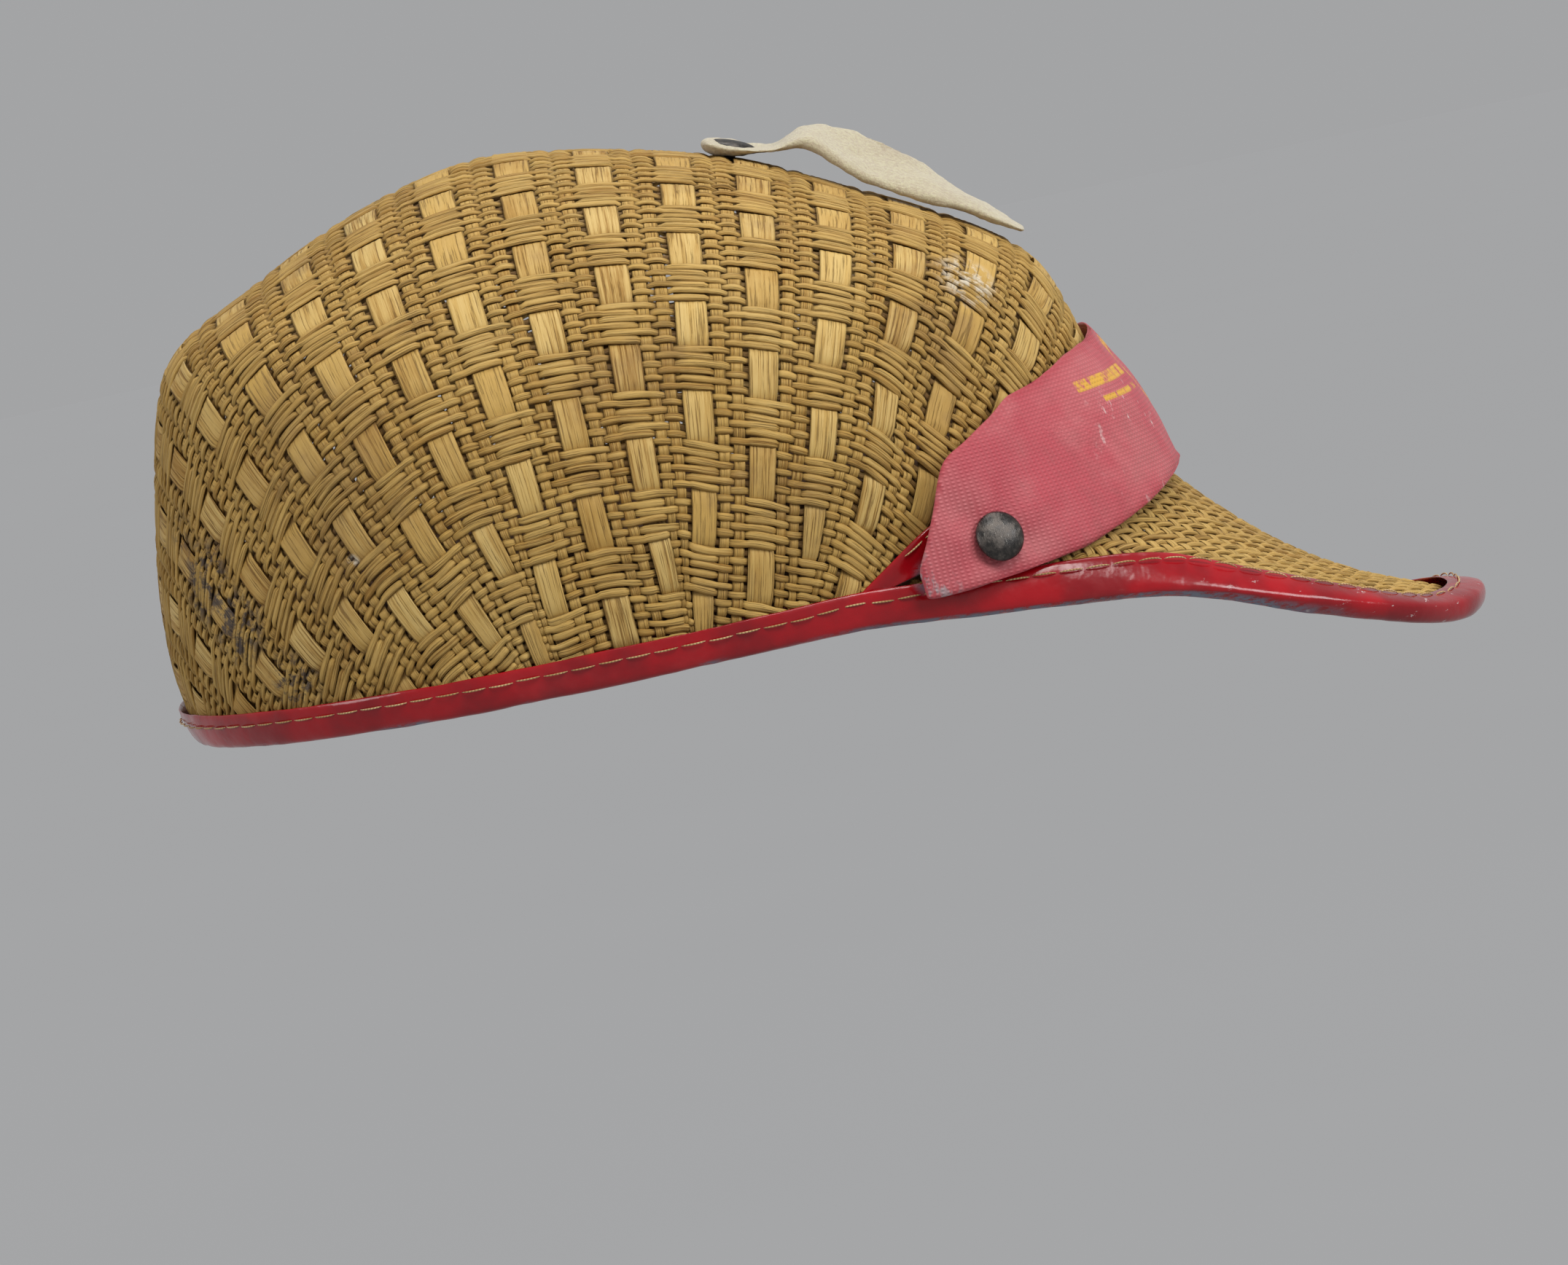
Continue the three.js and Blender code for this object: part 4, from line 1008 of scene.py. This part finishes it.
class Twill(Weave):
    """A finer mat of narrow strands, over two and under two, that shows as herringbone."""

    WARP = 2.9

    def over(self, row, column):
        return (row + column + 2 * (column // 9)) % 4 < 2

    def levels(self, row, places):
        columns = np.round(places).astype(int)
        return np.array([1.0 if self.over(row, column) else -1.0 for column in columns])

    def weft(self):
        rows, columns = int(self.reach / ROW), int(self.reach / self.WARP)
        half = sizes().weft_width / MM / 2
        places = np.arange(-columns, columns, 1 / 3)
        for row in range(-rows, rows + 1):
            levels = self.levels(row, places)
            before, after = self.levels(row, places - 0.4), self.levels(row, places + 0.4)
            level = (levels * 2 + before + after) / 4
            u = places * self.WARP
            v = row * ROW + 0.2 * wander(u, row * 1.7 + 3, 11)
            lift = 0.46 * level + 0.05 * wander(u, row * 2.3, 3.5)
            own = half * self.random.uniform(0.9, 1.1)
            wide = own * (0.98 + 0.1 * level + 0.12 * wander(u, row + 40.0, 9))
            # The last value is painted highlight with some wear: the weft is paler where it rides up.
            self.lay("weft", u, v, "u", lift, wide, 0.42, 0.25 * np.maximum(level, 0))

    def narrow(self):
        rows, columns = int(self.reach / ROW), int(self.reach / self.WARP)
        half = 0.42 * self.WARP
        steps = np.arange(-rows * 2, rows * 2 + 1) / 2
        for column in range(-columns, columns + 1):
            low = np.array([-1.0 if self.over(int(math.floor(s)), column) else 1.0 for s in steps])
            high = np.array([-1.0 if self.over(int(math.ceil(s)), column) else 1.0 for s in steps])
            lift = 0.34 * (low + high) / 2
            v = steps * ROW
            u = column * self.WARP + 0.2 * wander(v, column * 3.1, 15)
            wide = half * (1.0 + 0.08 * wander(v, column * 1.3, 9))
            # The last value is painted highlight with some wear: the ribbon is paler where it rises over the
            # weft.
            self.lay("narrow_warp", u, v, "v", lift, wide, 0.24, 0.35 * np.maximum(low, 0))

    def wide(self):
        """The peak has no wide ribbons."""


# Where the two mats are seen from and start, how far they reach, in mm, and how the peak's is turned.
CROWN_CENTRE, CROWN_START, CROWN_REACH = (-10.0, 0.0, 30.0), (-14.0, 0.0, 100.0), 195.0
UNDER_PEAK, PEAK_START, PEAK_BIAS = (60.0, 0.0, -60.0), (132.0, 0.0, 0.0), math.radians(38)


class CAP_OT_crown(bpy.types.Operator):
    """Weave the crown from weft strands and warp ribbons"""

    bl_idname = "straw_cap.crown"
    bl_label = "Crown weave"

    def execute(self, context):
        wall = Wall("crown", CROWN_CENTRE, upright=True)
        net = Net(wall, CROWN_START, 0.0, CROWN_REACH + 10)
        made = Weave("crown", net, CROWN_REACH, seed=4).build(finish_of("straw"))
        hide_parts("crown")
        return {"FINISHED"}


class CAP_OT_peak(bpy.types.Operator):
    """Weave the peak, finer and on the bias"""

    bl_idname = "straw_cap.peak"
    bl_label = "Peak weave"

    def execute(self, context):
        wall = Wall("peak", UNDER_PEAK, upright=False)
        net = Net(wall, PEAK_START, PEAK_BIAS, 125.0)
        made = Twill("peak", net, 130.0, seed=9, scale=0.92).build(finish_of("straw"))
        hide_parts("peak")
        return {"FINISHED"}


# ---------- binding, seam strip and sweatband ----------


def mark_underside(shape):
    """Stores how far each vertex faces down, which is where an edge rubs."""
    layer = shape.verts.layers.float.new("under")
    shape.normal_update()
    for vert in shape.verts:
        vert[layer] = max(0.0, -vert.normal.z)


class CAP_OT_binding(bpy.types.Operator):
    """Fold the glossy binding round the hem and the peak's edge"""

    bl_idname = "straw_cap.binding"
    bl_label = "Edge binding"

    def execute(self, context):
        shape = copy_of("edge_binding")
        make_quads(shape)
        fine = subdivided(shape, SUBDIVISION)
        ripple(fine, 0.014, 0.00028, seed=2.0)
        ripple(fine, 0.004, 0.00012, seed=8.0)
        mark_underside(fine)
        piece = piece_from(fine, "binding", finish_of("binding"))
        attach(piece, "cap")
        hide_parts("edge_binding")
        return {"FINISHED"}


class CAP_OT_seam_strip(bpy.types.Operator):
    """Cover the seam between the crown and the peak"""

    bl_idname = "straw_cap.seam_strip"
    bl_label = "Seam strip"

    def execute(self, context):
        shape = copy_of("seam_strip")
        for side in ("right", "left"):
            heal_hole(shape, *axis_of(f"{side}_stud_ball"))
        make_quads(shape)
        fine = subdivided(shape, SUBDIVISION)
        end = min(vert.co.x for vert in fine.verts)
        for vert in fine.verts:  # each end runs down and back under the binding
            drawn = max(0.0, 1 - (vert.co.x - end) / 0.013) ** 1.5
            vert.co += Vector((-0.0050, 0.0, -0.0036)) * drawn
        ripple(fine, 0.01, 0.00025, seed=5.0)
        mark_underside(fine)
        piece = piece_from(fine, "seam_tape", finish_of("binding"))
        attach(piece, "cap")
        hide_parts("seam_strip")
        return {"FINISHED"}


class CAP_OT_sweatband(bpy.types.Operator):
    """Line the head opening with a thin sweatband"""

    bl_idname = "straw_cap.sweatband"
    bl_label = "Sweatband"

    def execute(self, context):
        shape = copy_of("sweatband")
        make_quads(shape)
        fine = subdivided(shape, SUBDIVISION)
        ripple(fine, 0.03, 0.0004, seed=11.0)
        piece = piece_from(fine, "inner_band", finish_of("sweatband"))
        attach(piece, "cap")
        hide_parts("sweatband")
        return {"FINISHED"}


# ---------- stitching ----------


def thread_path(node, closed):
    """The thread's middle line in mm, found by its vertices' plan angle about a point inside it."""
    points = np.array([v.co[:] for v in frame["nodes"][node].data.vertices]) / MM
    points = np.unique(np.round(points, 3), axis=0)
    angle = np.arctan2(points[:, 1], points[:, 0] - 20.0)
    order = np.argsort(angle)
    points, angle = points[order], angle[order]
    breaks = np.flatnonzero(np.diff(angle) > math.radians(0.7)) + 1
    stations = np.array([group.mean(0) for group in np.split(points, breaks)])
    if closed:
        stations = np.concatenate([stations, stations[:1]])
    return stations


def evenly(stations, step, closed):
    """Points a step apart on a smooth curve through the stations."""
    padded = np.concatenate(
        [stations[-2:-1], stations, stations[1:2]] if closed else [stations[:1], stations, stations[-1:]]
    )
    t = np.linspace(0, 1, 12, endpoint=False)[:, None]
    fine = [
        0.5 * (2 * b + (c - a) * t + (2 * a - 5 * b + 4 * c - d) * t**2 + (3 * b - a - 3 * c + d) * t**3)
        for a, b, c, d in zip(padded, padded[1:], padded[2:], padded[3:])
    ]
    fine = np.concatenate([*fine, stations[-1:]])
    gone = np.concatenate([[0], np.cumsum(np.linalg.norm(np.diff(fine, axis=0), axis=1))])
    places = np.arange(0, gone[-1], step)
    return np.stack([np.interp(places, gone, fine[:, k]) for k in range(3)], -1)


HEXAGON = [(math.cos(k * math.pi / 3), math.sin(k * math.pi / 3)) for k in range(6)]


def stitches(name, node, cloth, closed, sink=0.25):
    """A row of separate stitches along a CAD thread, their ends drawn into the cloth."""
    per_stitch = 8
    pitch = sizes().stitch_pitch / MM
    path = evenly(thread_path(node, closed), pitch / per_stitch, closed)
    tree = tree_of(cloth)
    strands = Strands(name, HEXAGON)
    random = np.random.default_rng(3)
    length = max(3, round(per_stitch * sizes().stitch_length / sizes().stitch_pitch))
    for first in range(0, len(path) - length - 1, per_stitch):
        centre = path[first:first + length + 1].copy()
        up = []
        for point in centre:
            place = Vector(point * MM)
            nearest = tree.find_nearest(place)[0]
            up.append((place - nearest).normalized()[:])
        up = np.array(up)
        tangent = unit(np.gradient(centre, axis=0))
        across = unit(np.cross(up, tangent))
        bow = np.sin(np.linspace(0, math.pi, length + 1)) ** 0.6
        centre += up * (0.12 * bow - sink - 0.42 * (1 - bow))[:, None]
        centre += across * random.uniform(-0.12, 0.12)
        size_of = 0.18 * (0.7 + 0.35 * bow)
        along = np.linspace(0, sizes().stitch_length / MM, length + 1) + first
        flat = np.zeros(length + 1)
        strands.add(centre, across, up, size_of, size_of, along, (flat, flat, flat))
    piece = strands.build(finish_of("thread"))
    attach(piece, "cap")
    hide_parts(node)
    return piece


class CAP_OT_stitching(bpy.types.Operator):
    """Sew the binding, the seam strip and the sweatband with separate stitches"""

    bl_idname = "straw_cap.stitching"
    bl_label = "Stitching"

    def execute(self, context):
        stitches("edge_stitches", "edge_stitching", "edge_binding", closed=True)
        stitches("seam_stitches", "seam_stitching", "seam_strip", closed=False)
        stitches("inner_stitches", "sweatband_stitching", "sweatband", closed=True)
        return {"FINISHED"}


# ---------- the front band ----------


def open_gap(shape, inside_gap):
    """Takes out the end caps that face each other across a gap, and joins the open edges."""
    caps = [face for face in shape.faces if all(inside_gap(vert.co) for vert in face.verts)]
    rims = {edge for face in caps for edge in face.edges}
    bmesh.ops.delete(shape, geom=caps, context="FACES_ONLY")
    edges = [edge for edge in rims if edge.is_valid and edge.is_boundary]
    bmesh.ops.delete(shape, geom=[edge for edge in rims if edge.is_valid and edge.is_wire], context="EDGES")
    bmesh.ops.bridge_loops(shape, edges=edges)


def joint_named(name):
    return next(joint for joint in frame["record"]["behaviour"]["joints"] if joint["name"] == name)


def hinge_plane(side):
    """The hinge's place, and the direction along the band there, from the front towards the end."""
    joint = joint_named(f"{side}_band_peel")
    pin, axis = Vector(joint["pos_m"]), Vector(joint["axis"])
    outward = Vector((pin.x - CROWN_AXIS[0] * MM, pin.y, 0.0))
    along = axis.cross(outward).normalized()
    return pin, along if along.x < 0 else -along


def plan_angle(point):
    return math.degrees(math.atan2(point.y, point.x - CROWN_AXIS[0] * MM))


BAND_ARC = 0.112  # radius that turns plan angle into length along the band
BAND_THICKNESS = 0.001  # of the band's cloth, as its CAD solids have it


def band_cloth():
    """The whole band as one closed sheet, with its two hinge gaps closed up."""
    shape = copy_of("right_band_end", "front_band", "left_band_end")
    for side in ("right", "left"):
        heal_hole(shape, *axis_of(f"{side}_stud_cap"))
    for side in ("right", "left"):
        pin, along = hinge_plane(side)
        open_gap(shape, lambda place, pin=pin, along=along: abs((place - pin).dot(along)) < 0.0016)
    make_quads(shape)
    return subdivided(shape, 3)


def band_cut_area(side):
    """Flat area of half the band's cut: its CAD solids' volume over the cloth's thickness."""
    end, front = copy_of(f"{side}_band_end"), copy_of("front_band")
    volume = end.calc_volume() + front.calc_volume() / 2
    end.free()
    front.free()
    return volume / BAND_THICKNESS


def dress_band(shape):
    """Puckers the cloth round the studs, waves it, and maps it."""
    shape.normal_update()
    studs = [axis_of(f"{side}_stud_cap") for side in ("right", "left")]
    for vert in shape.verts:
        place = vert.co.copy()
        for point, direction in studs:
            away = place - point
            away -= direction * away.dot(direction)
            distance = away.length
            if distance > 0.03:
                continue
            turn = math.atan2(away.z, away.dot(Vector((direction.y, -direction.x, 0)).normalized()))
            dip = -0.0007 * math.exp(-((distance / 0.0065) ** 2))
            fold = 0.00035 * math.sin(5 * turn + 0.6) * math.exp(-(((distance - 0.010) / 0.0055) ** 2))
            vert.co += direction * (dip + fold)
    ripple(shape, 0.022, 0.0009, seed=4.0)
    ripple(shape, 0.007, 0.00022, seed=9.0)
    low, high = {}, {}
    end = max(abs(plan_angle(vert.co)) for vert in shape.verts)
    for vert in shape.verts:
        key = round(plan_angle(vert.co))
        low[key] = min(low.get(key, 1.0), vert.co.z)
        high[key] = max(high.get(key, -1.0), vert.co.z)
    mapped = shape.loops.layers.uv.new("cloth")
    edge = shape.verts.layers.float.new("edge")
    for vert in shape.verts:
        angle = plan_angle(vert.co)
        key = round(angle)
        inset = min(vert.co.z - low[key], high[key] - vert.co.z, math.radians(end - abs(angle)) * BAND_ARC)
        vert[edge] = max(0.0, 1 - max(inset, 0.0) / 0.0022)
        for loop in vert.link_loops:
            loop[mapped].uv = (math.radians(plan_angle(loop.vert.co)) * BAND_ARC, loop.vert.co.z)


class CAP_OT_band(bpy.types.Operator):
    """Wrap the cloth band round the front, split at the middle into two halves"""

    bl_idname = "straw_cap.band"
    bl_label = "Front band"

    def execute(self, context):
        whole = band_cloth()
        dress_band(whole)
        for side, sign in (("right", -1.0), ("left", 1.0)):
            half = whole.copy()
            geometry = [*half.verts, *half.edges, *half.faces]
            cut = bmesh.ops.bisect_plane(
                half, geom=geometry, plane_co=(0, 0, 0), plane_no=(0, -sign, 0), clear_outer=True
            )["geom_cut"]
            bmesh.ops.holes_fill(half, edges=[e for e in cut if isinstance(e, bmesh.types.BMEdge)], sides=0)
            piece = piece_from(half, f"band_{side}", finish_of("band"))
            round(band_cut_area(side), 6)
            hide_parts(f"{side}_band_end", *(["front_band"] if side == "right" else []))
            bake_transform(piece)
        whole.free()
        return {"FINISHED"}


# ---------- studs and rivet ----------


def spin_profile(name, profile, point, direction, material, steps=40):
    """A turned piece: profile is (radius, height) in metres, from the axis back to the axis."""
    shape = bmesh.new()
    verts = [shape.verts.new((radius, 0, height)) for radius, height in profile]
    edges = [shape.edges.new(pair) for pair in zip(verts, verts[1:])]
    bmesh.ops.spin(
        shape, geom=[*verts, *edges], cent=(0, 0, 0), axis=(0, 0, 1), dvec=(0, 0, 0), angle=math.tau,
        steps=steps, use_merge=True,
    )
    bmesh.ops.remove_doubles(shape, verts=shape.verts, dist=0.000002)
    bmesh.ops.recalc_face_normals(shape, faces=shape.faces)
    turn = Vector((0, 0, 1)).rotation_difference(direction).to_matrix().to_4x4()
    bmesh.ops.transform(shape, matrix=Matrix.Translation(point) @ turn, verts=shape.verts)
    return piece_from(shape, name, material)


def cap_profile(radius, height, depth):
    """A shallow dome with a rolled rim, on its shank."""
    dome = [
        (0, 1.0), (0.18, 0.985), (0.36, 0.94), (0.54, 0.86), (0.70, 0.74), (0.83, 0.59), (0.93, 0.40),
        (0.985, 0.22), (1.0, 0.10), (0.985, 0.02), (0.94, 0.0), (0.86, 0.03), (0.23, 0.05),
    ]
    profile = [(r * radius, h * height) for r, h in dome]
    return profile + [(0.0012, 0.0), (0.0012, -depth), (0, -depth)]


class CAP_OT_studs(bpy.types.Operator):
    """Turn the two press stud caps and the crown rivet, and dress their fittings"""

    bl_idname = "straw_cap.studs"
    bl_label = "Studs and rivet"

    def execute(self, context):
        radius = sizes().stud_radius
        for node, body in (
            ("right_stud_cap", "right_band_flap"),
            ("left_stud_cap", "left_band_flap"),
            ("crown_rivet", "cap"),
        ):
            point, direction = axis_of(node)
            high = span_along(node, point, direction)[1]
            height = 0.0023
            base = point + direction * (high - height)
            if node == "crown_rivet":  # pressed flat into the felt
                height, base = 0.0014, base - direction * 0.0011
            piece = spin_profile(
                node + "_dome", cap_profile(radius, height, 0.0058), base, direction, finish_of("stud_metal")
            )
            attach(piece, body)
            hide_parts(node)
        inner = MADE.setdefault("stud_inner", metal_material("stud_inner", dull=0.12))
        fittings = [
            f"{side}_stud_{part}" for side in ("right", "left") for part in ("socket", "ball", "washer")
        ]
        for node in [*fittings, "crown_rivet_washer"]:
            part = frame["nodes"][node]
            part.data.materials.clear()
            part.data.materials.append(inner)
        return {"FINISHED"}


# ---------- the felt strip ----------

FELT_WAY = Vector((0.9014, 0, -0.4330))  # the way it leaves its tab, forwards and down
FELT_WIDTH = 0.014
FELT_LOOP = (0.0024, 0.008, 0.006)  # height, place past the bend and spread of the loop
FELT_TILT = (0.0030, 0.021, 0.012)  # the same for the stretch where the left edge stands up


def hump(gone, shape):
    height, middle, spread = shape
    return height * math.exp(-(((gone - middle) / spread) ** 2))



class CAP_OT_felt(bpy.types.Operator):
    """Lay the felt strip from its rivet down the front of the crown"""

    bl_idname = "straw_cap.felt"
    bl_label = "Felt strip"

    def execute(self, context):
        bend = Vector(joint_named("felt_lift")["pos_m"])
        shape = copy_of("felt_tab", "felt_strip")
        heal_hole(shape, *axis_of("crown_rivet"))
        forward = FELT_WAY
        open_gap(shape, lambda place: abs((place - bend).dot(forward)) < 0.0009)
        make_quads(shape)
        fine = subdivided(shape, 3)
        point, direction = axis_of("crown_rivet")
        fine.normal_update()
        swell = [vert.normal * 0.0005 for vert in fine.verts]
        for vert, more in zip(fine.verts, swell):
            away = (vert.co - point) - direction * (vert.co - point).dot(direction)
            dip = 0.0006 * math.exp(-((away.length / 0.0075) ** 2))
            vert.co += more + direction * 0.0004 - direction * dip
        for vert in fine.verts:
            gone = (vert.co - bend).dot(forward)
            loop = hump(gone, FELT_LOOP)
            tilt = hump(gone, FELT_TILT) * (vert.co.y / FELT_WIDTH + 0.5)
            vert.co.z += loop + max(tilt, 0.0) + 0.0005 * min(max(gone / 0.02, 0.0), 1.0)
        ripple(fine, 0.012, sizes().felt_ripple, seed=1.0)
        ripple(fine, 0.003, 0.0003, seed=6.0)
        ripple(fine, 0.0011, 0.00012, seed=7.0)
        piece = piece_from(fine, "felt", finish_of("felt"))
        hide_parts("felt_tab", "felt_strip")
        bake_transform(piece)
        return {"FINISHED"}


# ---------- the stage ----------


def area_light(name, place, target, width, power, tone=(1, 1, 1)):
    light = bpy.data.lights.new(name, "AREA")
    light.shape = "DISK"
    light.size, light.energy, light.color = width, power, tone
    lamp = bpy.data.objects.new(name, light)
    bpy.context.scene.collection.objects.link(lamp)
    lamp.location = place
    lamp.rotation_euler = (Vector(target) - Vector(place)).to_track_quat("-Z", "Y").to_euler()
    return lamp


def place_camera():
    """A long lens from the wearer's right, a little above, rolled with the pose of the cap."""
    rise, roll, distance = math.radians(5.7), math.radians(12.0), 1.8
    ahead = Vector((0, math.cos(rise), -math.sin(rise)))
    right, above = Vector((1, 0, 0)), Vector((0, math.sin(rise), math.cos(rise)))
    rolled_right = right * math.cos(roll) - above * math.sin(roll)
    rolled_up = right * math.sin(roll) + above * math.cos(roll)
    aim = rolled_right * 0.0258 + rolled_up * 0.00119
    data = bpy.data.cameras.new("camera")
    data.sensor_width = 36.0
    data.lens = data.sensor_width * distance / FRAME_WIDTH
    data.clip_end = 20
    camera = bpy.data.objects.new("camera", data)
    bpy.context.scene.collection.objects.link(camera)
    axes = Matrix((rolled_right, rolled_up, -ahead)).transposed().to_4x4()
    camera.matrix_world = Matrix.Translation(aim - ahead * distance) @ axes
    bpy.context.scene.camera = camera


class CAP_OT_stage(bpy.types.Operator):
    """Set the floor, the lights, the sky and the camera"""

    bl_idname = "straw_cap.stage"
    bl_label = "Stage"

    def execute(self, context):
        shape = bmesh.new()
        bmesh.ops.create_circle(shape, cap_ends=True, radius=9.0, segments=96)
        bmesh.ops.translate(shape, verts=shape.verts, vec=(0, 0, -sizes().floor_drop))
        floor = piece_from(shape, "floor", finish_of("ground"), smooth=False)
        world = bpy.data.worlds.new("studio")
        bpy.context.scene.world = world
        world.use_nodes = True
        sky = world.node_tree.nodes["Background"]
        sky.inputs["Color"].default_value = (*colours().ground, 1)
        sky.inputs["Strength"].default_value = 1.0
        area_light("key", (0.75, -1.2, 1.6), (0.02, 0, 0.03), 0.9, 21, (1.0, 0.985, 0.96))
        area_light("top", (0.3, 0.4, 1.9), (0.02, 0, 0.03), 1.3, 17)
        area_light("rear", (-1.6, -0.9, 0.7), (-0.05, 0, 0.03), 0.9, 9)
        area_light("front", (1.7, -0.9, 0.8), (0.05, 0, 0.02), 0.9, 17, (0.97, 0.985, 1.0))
        context.scene.view_settings.view_transform = "Standard"
        place_camera()
        return {"FINISHED"}


# ---------- the add-on ----------

OPERATORS = [
    CAP_OT_stage, CAP_OT_crown, CAP_OT_peak, CAP_OT_binding, CAP_OT_seam_strip, CAP_OT_sweatband,
    CAP_OT_stitching, CAP_OT_band, CAP_OT_studs, CAP_OT_felt,
]


class CAP_PT_panel(bpy.types.Panel):
    """Sizes, colours and building steps of the cap"""

    bl_idname = "CAP_PT_panel"
    bl_label = "Straw cap"
    bl_space_type = "VIEW_3D"
    bl_region_type = "UI"
    bl_category = "Straw cap"

    def draw(self, context):
        for group in (context.scene.straw_cap_sizes, context.scene.straw_cap_colours):
            box = self.layout.box()
            for name in group.__annotations__:
                box.prop(group, name)
        column = self.layout.column()
        for operator in OPERATORS:
            column.operator(operator.bl_idname)


CLASSES = [CapSizes, CapColours, *OPERATORS, CAP_PT_panel]


def register():
    for cls in CLASSES:
        bpy.utils.register_class(cls)
    bpy.types.Scene.straw_cap_sizes = PointerProperty(type=CapSizes)
    bpy.types.Scene.straw_cap_colours = PointerProperty(type=CapColours)


def unregister():
    del bpy.types.Scene.straw_cap_colours
    del bpy.types.Scene.straw_cap_sizes
    for cls in reversed(CLASSES):
        bpy.utils.unregister_class(cls)


def main():
    register()
    for operator in OPERATORS:
        group, name = operator.bl_idname.split(".")
        getattr(getattr(bpy.ops, group), name)()


if __name__ == "__main__":
    main()
